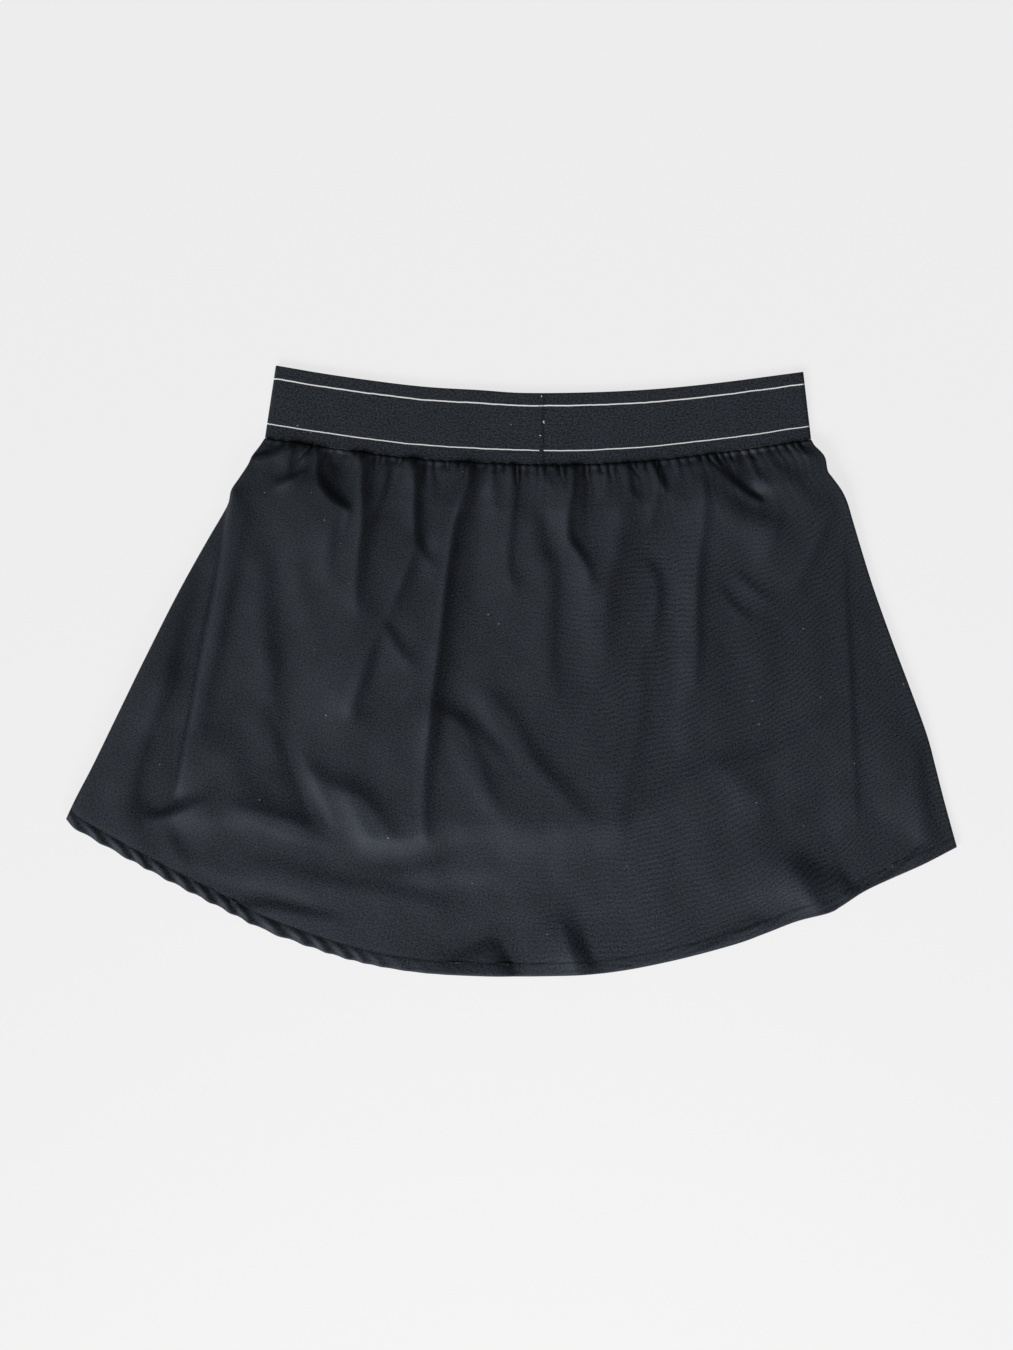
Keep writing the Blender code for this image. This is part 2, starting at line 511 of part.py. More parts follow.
def elastic_loop(name, material):
    """The flattened loop of elastic: rings from its lower edge to its upper one, then a wall."""
    lower = Line(BAND_BOTTOM)
    upper = Line(BAND_TOP)
    radius = BAND_DEPTH / 2.0
    end = radius / lower.length
    along = end + (1.0 - 2.0 * end) * np.arange(BAND_RUNS) / BAND_RUNS
    angles = np.arange(BAND_TURNS) / BAND_TURNS * math.pi
    ring = [(share, BAND_DEPTH) for share in along]
    ring += [(1.0 - end + end * math.sin(a), radius + radius * math.cos(a)) for a in angles]
    ring += [(1.0 - share, 0.0) for share in along]
    ring += [(end - end * math.sin(a), radius - radius * math.cos(a)) for a in angles]
    mesh = bmesh.new()
    rings = []
    for share in (0.0, 0.5, 1.0):
        points = []
        for place, height in ring:
            x, y = (1.0 - share) * lower.at(place) + share * upper.at(place)
            points.append(mesh.verts.new((x * MM, y * MM, height * MM)))
        rings.append(points)
    for low, high in zip(rings, rings[1:]):
        for k in range(len(ring)):
            following = (k + 1) % len(ring)
            mesh.faces.new((low[k], low[following], high[following], high[k]))
    bmesh.ops.recalc_face_normals(mesh, faces=mesh.faces[:])
    band = finished(name, mesh, material)
    wall = band.modifiers.new("elastic", "SOLIDIFY")
    wall.thickness = ELASTIC * MM
    wall.offset = -1.0
    wall.use_even_offset = True
    return band


def finished(name, mesh, material):
    """Turn the edit mesh into a named object of the skirt's collection."""
    data = bpy.data.meshes.new(name)
    mesh.to_mesh(data)
    mesh.free()
    data.shade_smooth()
    data.materials.append(material)
    piece = bpy.data.objects.new(name, data)
    bpy.data.collections["athletic_skirt"].objects.link(piece)
    return piece


def fabric(name, colour, roughness):
    """A matt fabric finish."""
    material = bpy.data.materials.new(name)
    material.use_nodes = True
    shader = material.node_tree.nodes["Principled BSDF"]
    shader.inputs["Base Color"].default_value = colour
    shader.inputs["Roughness"].default_value = roughness
    shader.inputs["Metallic"].default_value = 0.0
    return material


def back_panel(panel, material):
    """The upper panel, with its gathers, folds and turned hem."""
    folds = settled_folds()
    stitch = SKIRT_LENGTH - HEM_DEPTH
    rows = [back_row(panel, folds, *row, CLOTH) for row in BACK_ROWS]
    rows.append(back_row(panel, folds, stitch, 2, 0.0, CLOTH))
    rows.append(back_row(panel, folds, stitch + HEM_STEP, 2, 0.0, HEM_CLOTH))
    rows.append(back_row(panel, folds, SKIRT_LENGTH, 2, 0.0, HEM_CLOTH))
    return cloth_wall("back_panel", rows, material)


def front_panel(panel, material):
    """The lower panel, which the skirt lies on."""
    rows = [front_row(panel, *row, CLOTH) for row in FRONT_ROWS]
    rows.append(front_row(panel, SKIRT_LENGTH - FRONT_INSET, 1, 0.0, CLOTH))
    return cloth_wall("front_panel", rows, material)


def main():
    for old in list(bpy.data.objects):
        bpy.data.objects.remove(old, do_unlink=True)
    collection = bpy.data.collections.new("athletic_skirt")
    bpy.context.scene.collection.children.link(collection)

    cloth = fabric("black_woven_cloth", CLOTH_COLOUR, 0.85)
    elastic = fabric("black_elastic", ELASTIC_COLOUR, 0.8)
    panel = Panel()

    back_panel(panel, cloth)
    front_panel(panel, cloth)
    elastic_loop("waistband", elastic)


main()
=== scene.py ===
"""The look of the athletic skirt: fine cloth shells, elastic, sewing, materials, light and camera.

Tables and sizes are in millimetres, in the frame of the CAD model: +X to the right in the photograph,
+Y to the waist, +Z up. Meshes and materials are made in metres.
"""
import math

import bpy
import numpy as np
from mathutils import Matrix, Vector


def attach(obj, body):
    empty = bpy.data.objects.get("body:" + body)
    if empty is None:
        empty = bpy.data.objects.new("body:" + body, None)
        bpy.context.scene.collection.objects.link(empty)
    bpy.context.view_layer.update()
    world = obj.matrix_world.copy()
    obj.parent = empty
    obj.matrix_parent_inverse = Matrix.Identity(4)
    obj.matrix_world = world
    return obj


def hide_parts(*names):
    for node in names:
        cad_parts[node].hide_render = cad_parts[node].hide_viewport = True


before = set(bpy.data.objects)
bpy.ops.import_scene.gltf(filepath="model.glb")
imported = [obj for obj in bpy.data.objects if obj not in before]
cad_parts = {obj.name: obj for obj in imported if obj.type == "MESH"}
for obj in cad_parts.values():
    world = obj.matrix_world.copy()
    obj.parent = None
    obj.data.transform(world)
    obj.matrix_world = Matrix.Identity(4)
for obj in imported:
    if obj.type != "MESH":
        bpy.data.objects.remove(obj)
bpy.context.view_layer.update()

MM = 0.001

# --- Sizes shared with the solids --------------------------------------------
CLOTH = 1.3             # height of each panel's wall
SEAM_GAP = 0.3          # space between neighbouring pieces
SKIRT_LENGTH = 321.0    # from the waistband's lower edge to the hem, at the middle
HEM_DEPTH = 8.5         # turned hem, from its stitch line to the edge
HEM_EXTRA = 0.3         # the hem is this much thicker than the cloth
STITCH_LINE = SKIRT_LENGTH - HEM_DEPTH
ELASTIC = 1.6           # thickness of the elastic
BAND_DEPTH = 4.0        # the flattened loop of elastic

# Outline, seen from above; a smooth curve runs through each list of points.
BAND_TOP = [(-148.6, 192.3), (-110, 185.9), (-60, 179.4), (-20, 176.8), (8, 175.0),
            (50, 175.4), (90, 177.4), (130, 181.3), (184.0, 188.3)]
BAND_BOTTOM = [(-155.4, 147.2), (-110, 140.3), (-60, 134.2), (-10, 131.3), (32, 130.3),
               (69, 131.6), (94, 133.6), (119, 136.6), (150, 140.4), (188.9, 146.2)]
SIDE_LEFT = [(-155.4, 146.9), (-159.0, 141.5), (-163.5, 135.5), (-166, 130), (-171.2, 122),
             (-176.5, 114), (-178.2, 106), (-182.4, 98), (-193, 80), (-209.6, 50),
             (-229.8, 10), (-249.4, -30), (-264.1, -60), (-274.6, -80), (-280.8, -93.2)]
SIDE_RIGHT = [(188.9, 145.9), (191.2, 142), (195.2, 138), (197.8, 134), (199.4, 126),
              (202.2, 122), (208.0, 114), (211.8, 106), (215.4, 94), (222.6, 70), (229, 50),
              (239.7, 20), (251, -10), (261.9, -40), (267.3, -60), (272.4, -80), (280.8, -110.8)]
HEM = [(-280.8, -93.2), (-275, -99), (-260, -107.8), (-240, -119.1), (-210, -135.3),
       (-180, -150.9), (-160, -161.2), (-140, -169.2), (-100, -182.4), (-60, -189.8),
       (-20, -192.1), (20, -192.3), (60, -190.3), (100, -183), (140, -172.4), (160, -165.2),
       (180, -157.5), (200, -152.3), (208, -148), (222, -139), (240, -130.4), (260, -121.5),
       (280.8, -110.8)]

# --- Gathers -----------------------------------------------------------------
GATHERS = 62            # on each panel, side by side under the elastic
UNEVEN_WIDTH = 0.28     # how far a gather's width strays from the mean
WIDTH_TURNS = (2.39, 0.83)      # steps, in radians, that vary the widths from one to the next
BACK_PHASE = 0.4        # the two panels' gathers differ by where their variation starts
FRONT_PHASE = 2.1
NOTCH_DEPTH = 1.5       # of a middling notch between two gathers
NOTCH_WIDTH = 0.19      # its half width, as a share of a gather
NOTCH_SIZES = (0.75, 1.7)       # the shallowest and deepest, as shares of that depth
NOTCH_REACHES = (5.0, 20.0)     # how far the shortest and longest run from the waistband
NOTCH_LEAN = 0.35       # how far a notch leans aside, for each millimetre that it runs down
CREST_HEIGHT = 0.4      # roundness of the cloth between two notches
CREST_REACH = 22.0      # over which it flattens out down the cloth

# --- How the upper panel lies ------------------------------------------------
ARCH = [
    # distance from the waistband, height over the lower panel without folds
    (0.0, 2.6),
    (8.0, 4.2),
    (30.0, 6.0),
    (60.0, 6.5),
    (100.0, 7.0),
    (150.0, 7.4),
    (200.0, 7.2),
    (228.0, 6.4),
    (250.0, 4.7),
    (270.0, 3.5),
    (290.0, 2.7),
    (321.0, 1.4),
]
ARCH_ACROSS = [
    # share across, from the left, share of that height
    (0.00, 0.45),
    (0.06, 0.70),
    (0.15, 0.90),
    (0.35, 1.00),
    (0.60, 0.95),
    (0.80, 0.70),
    (1.00, 0.25),
]
WAIST_REACH = 130.0     # the arch is level at the waistband, and lower at the sides beyond this
TUCK_START = -1.5       # the cloth comes out from under the elastic from this distance
TUCK_REACHES = (3.2, 3.0)       # and has its full height this much further on, in each panel
TUCK_GAP = 0.1          # between the tucked cloth and the elastic around it
FOLD_START = -1.0       # the folds grow from this distance from the waistband
FOLD_GROWTH = 5.0       # over this much
FOLD_REACH = 34.0       # beyond this distance a slope no longer lifts or lowers the cloth
LEVEL_REACH = 70.0      # within this distance from the waistband the folds rise and fall about even
LEVEL_STEPS = 24        # as many columns and rows to each side show what is even
HEM_CALM = 0.25         # the folds lose this share of their height at the hem
HEM_CALM_REACH = 14.0
SIDE_REACH = 8.0        # gathers die out over this distance from the sides
RIPPLES = [(34.0, 0.30, 3), (13.0, 0.12, 5)]    # fine relief: wavelength, height, random seed
RIPPLE_WAVES = 9        # that make up each of the two
RIPPLE_START = 20.0     # it grows over this distance from the waistband
RIPPLE_SIDES = 10.0     # and over this distance from the sides
RIPPLE_AT_HEM = 0.4     # towards the hem it shrinks to this share
RIPPLE_HEM_REACH = 60.0
FOLD_DEPTH = 1.45       # all slopes are this much steeper than in the table
SOFT_SHARE = 0.3        # of a slope on its low side, this share runs out softly
SOFT_SPREAD = 2.6       # over this many times its reach
GRID_STEP = 1.0         # of the square grid on which the slopes are put together
GRID_LEFT, GRID_RIGHT = -300.0, 300.0
GRID_LOW, GRID_HIGH = -215.0, 170.0

# Where the cloth slopes. Along each line it falls towards the line's left-hand side as it runs:
# to the right in the photograph for a line that runs down, to the waist for one that runs right.
# The slope dies out over one reach on the high side and another on the low side.
# Single letters run about from left to right; the other names say where a fold is.
# Each row: name: slope at start, middle and end: reach on the high and low side: points of the line
SLOPES = """
gape: 1.3 1.5 1.4: 0.9 1.4: -161,134 -152,136 -144,139.2 -138,143
gape light: 0.3 0.4 0.3: 1 1: -147,143.5 -153,141 -159,138.5
a: 0.9 1.1 0.9: 3 3: -126,144 -128,134 -131,127
a two: 0.9 0.9 0.5: 1.5 2: -137,144 -138,137 -140,131
a toe: 0.8 0.9 0.5: 1 2.8: -146.5,117.5 -141,120 -135,123 -129,127
a bank: 0.3 0.4 0.3: 4 5: -141,138 -139,130 -137,122
b: 0.9 1.1 0.8: 1.5 2.3: -121,144 -121,123 -116.5,113 -110,107 -103,102.6
b inside: 1.2 0.9 0.3: 5 3.5: -114,142 -114,132 -112,123
b light: 0.05 0.15 0.25: 3 2.5: -97,60 -98,100 -98.5,120 -102,138
b tail: 0.7 0.35 0.05: 1 1.5: -101,102 -104.5,90 -109,82
b under: 0.3 0.4 0.2: 4 4: -109,100 -112,82 -113,60
c: 0.9 0.9 0.4: 1.6 6.5: -93.5,141 -93.5,118 -93,103 -93,92 -95,78 -96.5,60 -96.5,42
c branch: 0.7 0.8 0.5: 2.5 2.5: -77,138 -78,122 -82,108 -87,99
c side: 0.5 0.5 0.3: 2 2: -64,138 -62,128 -61,120
e: 1 1 0.2: 1.8 3.8: -59,136 -59.5,115 -60,100 -59,84 -55,74 -50,68
e side: 0.5 0.5 0.3: 2 2: -46,133 -50,112
f: 0.7 0.9 0.5: 3 4.5: -59,78 -64,64 -69.5,50 -74,38
f low: 0.4 0.6 0.5: 4 4: -77,34 -84,20 -90,4 -95,-10 -99,-24
g: 1 1 0.4: 1.9 4.6: -26,134 -26,120 -30.5,106 -34.3,94 -37.5,76 -40,58 -41.8,38 -43.9,18 -46.3,0 -49,-20
    -51.3,-40 -53,-65 -54,-90 -53,-104
g soft: 0.15 0.15 0.1: 6 10: -28,100 -30,60 -34,20 -38,-10
g bulge: 0.2 0.5 0.2: 3 4: -47,-18 -47.5,-32 -49,-48
g light: 0.15 0.2 0.2: 4 3.5: -60,-90 -58,-50 -54,0 -49,40 -44,75 -37,110
g toe: 0.4 0.5 0.4: 3 3: -23,112 -28,101
k: 0.6 0.5 0.3: 2.5 2.5: -10,132 -9.5,104
l: 0.7 0.5 0.3: 2.5 3: 3,133 3,112 1.5,95 -0.5,78 0,64 2,56
m left: 0.5 0.45 0.3: 1.5 2.5: 20,131 25,117
m right: 0.5 0.45 0.3: 1.5 2.5: 30,131 34,121
n: 0.35 0.4 0.25: 6 4: 17.5,96 21,78 26.5,66 28,50 27,30 27.5,10 29,-8
o: 0.85 0.75 0.4: 1.8 3.6: 41,132 39.5,116 37,100 37.5,84 43,75 48.5,66 50.5,58
o wide: 0.2 0.4 0.2: 3 3: 45,120 43.5,102 44.5,86
o soft: 0.4 0.4 0.2: 3 4: 48,132 47,100
o light: 0.08 0.14 0.1: 8 8: 48,-5 46,25 44,55
op nick: 0.4 0.4 0.2: 2 2: 62,132 59,112
p: 0.55 0.5 0.4: 1.5 3: 74,133 75,116 78,110
p dark: 0.2 0.25 0.2: 8 8: 84,131 84,112 81,96
p low: 0.4 0.5 0.25: 6 8: 73,108 72,92 70,78 66,62 63,45
r: 0.15 0.2 0.1: 3 5: 63,50 61,30 60,10
q: 0.85 0.85 0.7: 1.2 3: 89,135 93,123 97,115
q toe: 0.4 0.5 0.3: 2.5 3.5: 94,116 92,105 89,94
q nick: 0.4 0.35 0.2: 2 2: 107,136 105,112
s: 0.25 0.5 0.25: 3 3.5: 88,67 92.5,59 93.5,45 92,30 90,18
t: 0.5 0.5 0.3: 2.2 4: 122,118 122.5,95 119.5,72 118,42 118,10 116.5,-8
t soft: 0.12 0.12 0.08: 6 14: 130,105 130,70 128,40
t light: 0.14 0.24 0.12: 6 6: 103,-45 104,-15 108,35 112,85
u: 0.15 0.7 1.1: 2.8 1.2: 131,130 137,123 143.5,117.5 150,112.5 157,108.6
waist right: 0.25 0.4 0.15: 6 6: 120,132 145,134 172,139
u soft: 0.4 0.45 0.3: 6 7: 131,142 134,130 142,120
u back: 0.3 0.5 0.4: 8 8: 137,124 150,124 164,125
u fill: 0.3 0.55 0.4: 9 5: 126,122 137,111 150,102 160,97
u nick: 0.5 0.5 0.4: 1.2 2: 141,139 144,127
u tail: 0.25 0.25 0.15: 2 2.5: 170,100 166,82 163,75
v: 0.35 0.4 0.3: 1.2 2.2: 147.5,142 151.5,131 155,124.5 159,119.5
w: 0.2 0.25 0.2: 1.2 2: 160,145 163,133 169,127
w two: 0.6 0.6 0.5: 1.5 2: 176,147 183,139.5 189,137
right patch: 0.2 0.2 0.15: 4 6: 172,128 182,118 188,108
right nick: 0.2 0.25 0.2: 2.5 3: 134,50 140,42 149,34
right nick two: 0.2 0.25 0.15: 3 3: 144,61 152,54 161,47
x: 0.25 0.35 0.25: 3 4: 203,102 195,84 187,67 182,56
y: 0.08 0.35 0.2: 1.6 1.6: 210.5,95 210.5,70 211.5,40 214,0 215.5,-40 218,-85 219,-98
corner strip: 0.15 0.25 0.25: 5 8: 256,-45 260,-75 264,-100
side light: 0.6 1.3 1.5: 1.5 1.4: -212,-74 -206,-45 -202,-25 -197.7,0 -193,25 -187.5,50 -182.5,75
    -179.5,95 -176,112
side light foot: 0.5 0.4 0.2: 6 4: -216,-74 -212,-55 -208,-40
side dark: 0.15 0.6 0.5: 4.5 4.5: -166,100 -170,80 -174.5,60 -179,35 -184,10 -190,-12 -195,-32
strip dark: 0.3 0.8 0.6: 8 5: -199,60 -206,35 -211,10 -214,-10 -220,-26 -227,-42 -232,-60 -236,-74
strip outer: 0.05 0.1 0.12: 15 15: -245,-20 -256,-60 -264,-95
strip foot: 0.15 0.25 0.2: 8 8: -215,-55 -222,-75 -226,-100
left shoulder: 0.08 0.1 0.08: 4 6: -164,100 -163,85 -161,70
left dip: 0.25 0.45 0.3: 6 6: -152,70 -152,40 -151,20 -148,0 -147,-25 -144,-50
left faint: 0.15 0.2 0.1: 5 5: -131,75 -131,55 -127,40
mid left streak: 0.3 0.4 0.2: 4 5: -88,2 -92,-10 -97,-22
mid streak: 0.4 0.4 0.2: 2.5 3: -77,27 -70,15 -63,6
mid streak low: 0.2 0.25 0.15: 3 2: -55,8 -60,-8 -66,-17
triangle side: 0.2 0.3 0.3: 12 1.5: -155,-22 -149,-38 -143,-54 -136.5,-72 -129,-92
triangle: 0.3 0.4 0.25: 12 12: -174,-45 -167,-65 -159,-80
triangle back: 0.15 0.3 0.2: 12 12: -194,-50 -192,-70 -187,-88
triangle foot: 0.2 0.3 0.35: 1.5 7: -172,-85 -155,-89 -140,-93.5 -130,-98
triangle light: 0.1 0.14 0.08: 2 4: -118,-110 -134,-106 -150,-101 -166,-94 -180,-90
triangle bank: 0.2 0.32 0.2: 2.5 3: -114,-95 -121,-80 -128,-66 -133,-54
left patch: 0.3 0.8 0.3: 2 6: -228,-92 -217,-90 -206,-86 -196,-82
left patch light: 0.1 0.1 0.05: 2 8: -170,-97 -190,-94 -212,-95
left speck: 0.25 0.35 0.2: 4 5: -216,-98 -212,-108 -206,-117
left corner: 0.1 0.2 0.2: 8 6: -243,-70 -238,-90 -232,-108
low band: 0.12 0.2 0.15: 5 5: -160,-120 -138,-125 -115,-131 -90,-135 -70,-138 -45,-145
low band light: 0.12 0.12 0.1: 4 4: -125,-146 -150,-138 -180,-132 -200,-124
low crease: 0.3 0.4 0.2: 3 2.5: -172,-147 -152,-147 -132,-151 -112,-155
low arch: 0.25 0.3 0.2: 3 7: -124,-62 -114,-70 -102,-74 -91,-80 -81,-93 -75,-101
low arch light: 0.18 0.3 0.2: 4 7: -48,-106 -70,-110 -90,-108 -99,-95 -106,-80
mid band: 0.08 0.14 0.08: 4 5: -100,-124 -70,-126 -48,-121 -28,-112
mid band light: 0.08 0.12 0.08: 6 6: -10,-132 -35,-132 -60,-136
h: 0.25 0.25 0.15: 3 4: -45,-24 -34,-30 -26,-40 -20,-54 -15,-68 -8,-84
h branch: 0.2 0.25 0.15: 4 4: -34,-26 -20,-38 -4,-54
h light: 0.12 0.15 0.12: 4 7: -8,-96 -22,-78 -32,-58 -42,-38
i: 0.2 0.28 0.12: 4 5.5: -9,-16 3,-31 10,-44 17,-57 28,-69 39,-81 47,-90
i light: 0.1 0.15 0.1: 4 5: 4,-58 -7,-44 -17,-28 -24,-12
j: 0.12 0.2 0.2: 4 6: 84,10 83,-25 79,-50 73,-80 70,-100
lower light: 0.1 0.12 0.1: 8 12: 60,-104 20,-108 -20,-106 -48,-104
mid hem: 0.4 0.6 0.6: 12 1.5: -8,-164 -4,-174 -1,-184 1,-193
mid hem soft: 0.3 0.4 0.35: 6 5: -36,-181 -24,-176 -10,-170
mid hem edge: 0.35 0.5 0.4: 7 6: -40,-189 -22,-187 -4,-185
mid hem top: 0.08 0.14 0.1: 4 4: -4,-158 -20,-161 -38,-167
mid hem light: 0.15 0.15 0.1: 4 4: 8,-192 6,-170
mid hem two: 0.3 0.35 0.2: 1.6 8: 34,-161 37,-172 41,-183 43,-193
mid hem two soft: 0.4 0.5 0.4: 9 6: 43,-166 49,-179 54,-190
right drape: 0.08 0.12 0.08: 7 7: 70,-98 95,-74 125,-58 165,-50 195,-30
right drape two: 0.08 0.12 0.1: 6 6: 135,-57 150,-70 160,-80 160,-92
right drape three: 0.08 0.12 0.1: 12 12: 150,-120 175,-95 205,-75
right hem patch: 0.2 0.35 0.35: 5 11: 178,-122 186,-132 193,-142 199,-151
right hem soft: 0.2 0.3 0.25: 9 9: 180,-120 199,-128 222,-134
right hem side: 0.25 0.3 0.3: 6 5: 206,-114 212,-126 215,-138
right hem light: 0.03 0.05 0.03: 2.5 5: 198,-151 183,-143 168,-139 145,-145
right corner: 0.05 0.1 0.15: 10 6: 258,-50 265,-75 273,-100
right low: 0.01 0.02 0.015: 35 35: 50,-150 110,-142 170,-118
mid low: 0.03 0.045 0.03: 30 30: 45,-120 -40,-128 -110,-132
right hem crease: 0.3 0.4 0.3: 2 4: 120,-175 135,-168 150,-161 160,-158
right hem nick: 0.3 0.3 0.2: 1.5 2: 163,-161 172,-154 176,-149
right hem lens: 0.5 0.8 0.5: 2 3.5: 236,-132 246,-122.5 257,-113
right hem streak: 0.3 0.45 0.4: 2 2.5: 212,-141 224,-134 238,-127
"""

# --- How the lower panel lies ------------------------------------------------
FRONT_INSET = 0.3       # its outline lies this much inside that of the upper panel
UNDER_REST = 0.05       # height of its underside over the surface where it lies flat
UNDER_ARCH = 1.0        # how much higher it is at the waistband
UNDER_ARCH_REACH = 14.0
UNDER_GATHERS = 0.6     # share of the gathers' height that it has there
UNDER_HEM_REACH = 30.0  # it comes down to the surface over this distance from the hem
UNDER_SIDE_SHARE = 0.05     # and over this share of the width from each side
UNDER_TURN_IN = 6.0     # how far its hem turns in
# Shallow folds that lift its underside off the surface.
UNDER_FOLDS = [
    # height at start and end, line
    ((0.8, 0.3), [(-120, 110), (-135, 60), (-160, 0)]),
    ((1.0, 0.3), [(-55, 112), (-62, 50), (-58, -30)]),
    ((0.9, 0.3), [(20, 108), (14, 40), (28, -50)]),
    ((1.0, 0.3), [(88, 110), (100, 40), (96, -20)]),
    ((0.7, 0.3), [(150, 114), (172, 50), (205, -30)]),
    ((0.5, 0.3), [(-150, -80), (-60, -120), (40, -110)]),
]
UNDER_FOLD_REACH = 9.0
CONTACT_SOFTNESS = 0.8  # the cloth comes to rest on what lies below over about this height

# --- Edges and hem -------------------------------------------------------------
ROLL = 0.8              # how far the rolled edges of the upper panel stand out
FRONT_ROLL = 0.62       # radius of the lower panel's edges
SEAM_HEIGHT = 0.7       # height at which the upper panel's side edges meet the lower panel
HEM_START = 1.2         # the hem's extra thickness begins over this distance
# The turned hem is puffed up and roped. Each rope's dark side meets the edge at one of these.
ROPES = (-284, -270, -255, -239, -227.5, -213.5, -200, -187, -173.7, -162, -142, -126.5, -113.5,
         -100.5, -90, -79, -64, -50, -38, 0, 281)
ROPE_LEAN = 7.5         # how much further left it starts at the stitch line
ROPE_HEIGHT = 1.9       # crest over trough where the ropes are strongest
ROPE_START = 4.5        # a rope rises over this distance from the stitch line
ROPE_FALL = 0.42        # share of the space between ropes over which one falls
ROPE_REST = 0.12        # share over which it lies low, before it rises again
ROPE_PULL = 0.9         # how far a crest stands out past a trough at the edge
ROPE_EVEN = 0.6         # share of the height at which the edge isn't moved
PULL_REACH = 5.0        # the cloth is moved within this distance from the edge
PUFF_HEIGHT = 0.15      # of the hem beyond its stitch line, where the ropes are strongest
PUFF_REACH = 3.5
GROOVE_DEPTH = 0.07     # along the stitch line
GROOVE_WIDTH = 0.8
ROPE_STRENGTH = [
    # x, strength
    (-281, 0.5),
    (-262, 0.9),
    (-150, 1.0),
    (-120, 0.8),
    (-90, 0.4),
    (-60, 0.15),
    (-30, 0.0),
    (281, 0.0),
]
STITCH_LENGTH = 1.15
STITCH_PITCH = 1.75
STITCH_THICKNESS = 0.35
STITCH_RISE = 0.02      # of a stitch's middle over the cloth or the elastic

# Rows of the panels' meshes, as distances from the waistband.
TUCKED_ROWS = (-3.0, -1.5)
GATHERED_TO = 30.0      # rows are closer together over the gathers
HEM_ROWS = (-0.45, 0.0, 0.45, 1.2, 2.3, 3.6, 5.0, 6.4, 7.75)    # in the hem, from its stitch line
HEM_ROW_STEP = 1.2      # between the rows of the rolled hem, in the texture

# --- Waistband ---------------------------------------------------------------
BAND_RUNS = 300         # spaces along each layer of the loop
BAND_TURNS = 10         # spaces round the fold at each end
BAND_HEIGHT = 44.5
EDGE_BULGE = 0.28       # how far the elastic's long edges are rounded
STRIPE_WIDTHS = (0.53, 0.66)    # of the lower and the upper one
STRIPE_MIDDLES = (8.5, BAND_HEIGHT - 7.85)
STRIPE_WHITE = (0.92, 0.92, 0.92)
STRIPE_EDGE = 0.00014   # half the width of a stripe's woven edge, in metres
STRIPE_BREAK_LEFT = 1.1     # from the join to the middle of the lower stripe's break
STRIPE_BREAK = (0.0011, 0.0015)     # none shows within the first, in metres, and all beyond the second
CORD_PITCH = 0.0014     # of the elastic's cords, in metres
BAND_SINK = 0.1         # how much lower the outer face lies than a full loop would
BAND_WAVES = [
    # height, length for each radian, phase, phase gained up the band
    (0.04, 17.0, 0.6, 0.0),
    (0.025, 7.3, 0.0, 2.0),
]
JOIN_X = 19.8           # the vertical join in the middle of the back
JOIN_LAP = 12.5         # how far the elastic lies double to the left of the join
JOIN_STEP = 0.25        # how much that lifts it
LAP_RISE = 1.5          # over which it is lifted, at the lap's left end
JOIN_STITCHES = 19      # in each of two columns
JOIN_COLUMNS = [(0.0, 0.25), (-2.2, -0.2)]      # place from the join, lean of its stitches
JOIN_STITCH_LENGTH = 1.9
JOIN_STITCH_THICKNESS = 0.4
JOIN_THREADS = [
    # x, y, length, lean
    (20.3, 157.4, 1.3, 0.5),
    (20.5, 156.4, 1.0, -0.6),
    (18.2, 148.4, 0.9, 0.1),
    (19.0, 173.2, 1.0, 6.0),
]
JOIN_THREAD_THICKNESS = 0.55
JOIN_THREAD_RISE = 0.25     # of a thread's middle over the elastic

# --- Materials -----------------------------------------------------------------
TEXTURE_WIDTH = 520.0   # of a panel, in its texture
RIB_PITCH = 0.0034      # of the weave's faint cross ribs, in metres of the cloth, like those below
RIB_LEVEL_AT = 0.31     # across the cloth, where they run level
RIB_RISE = 0.95         # how fast they rise beyond it
RIB_DRIFT = 0.014       # how far they waver
RIB_BEND = 0.0025       # and how far a fold bends them, for each millimetre of its height
RIB_STRENGTH = 0.22     # in the cloth's colour and its relief
LINT_CELLS = 110.0      # of a metre's length, each with one speck of lint or none
LINT_SHARE = 0.40       # of the cells without one
LINT_SIZE = 0.09        # of the largest, as a share of a cell, for each share above that
LINT_FACING = 0.5       # it lies where the cloth's normal rises more than this
CLOTH_COLOUR = (0.0146, 0.0171, 0.0217)
ELASTIC_COLOUR = (0.0135, 0.0160, 0.0205)
DARK_THREAD = (0.009, 0.010, 0.0125)
WHITE_THREAD = (0.75, 0.75, 0.75)
WHITE = (1.0, 1.0, 1.0, 1.0)
COOL = (0.80, 0.88, 1.0, 1.0)   # tint of the light that the fabrics throw back

# --- Camera, light and floor ---------------------------------------------------
PHOTO_SCALE = 0.63          # millimetres for each pixel of the photograph
PHOTO_SIZE = (1013, 1350)
PHOTO_ORIGIN = (511.0, 670.5)   # the pixel of the photograph at the frame's origin
CAMERA_HEIGHT = 3.2
CLOTH_PLANE = 0.004         # height at which the photograph's scale is met, in metres
SENSOR = 36.0
FLOOR_SIZE = 6.0
FLOOR_DROP = 0.0002         # below the skirt, so that their faces don't meet
FLOOR_SHADE = 0.10
FLOOR_GLOW = 0.765
KEY_FROM = (-0.62, -0.62, 0.55)     # direction to the key light
KEY_WIDTH = 30.0                    # its width as seen from the skirt, in degrees
KEY_STRENGTH = 3.4
FILL_STRENGTH = 0.12
HEM_LIGHT_AT = (0.02, -0.85, 0.55)  # a soft box near the hem
HEM_LIGHT_SIZE = 0.5
HEM_LIGHT_POWER = 6.0


# --- Curves --------------------------------------------------------------------
def smooth_step(value):
    """0 below 0 and 1 above 1, with a soft turn between."""
    value = np.clip(value, 0.0, 1.0)
    return value * value * (3.0 - 2.0 * value)


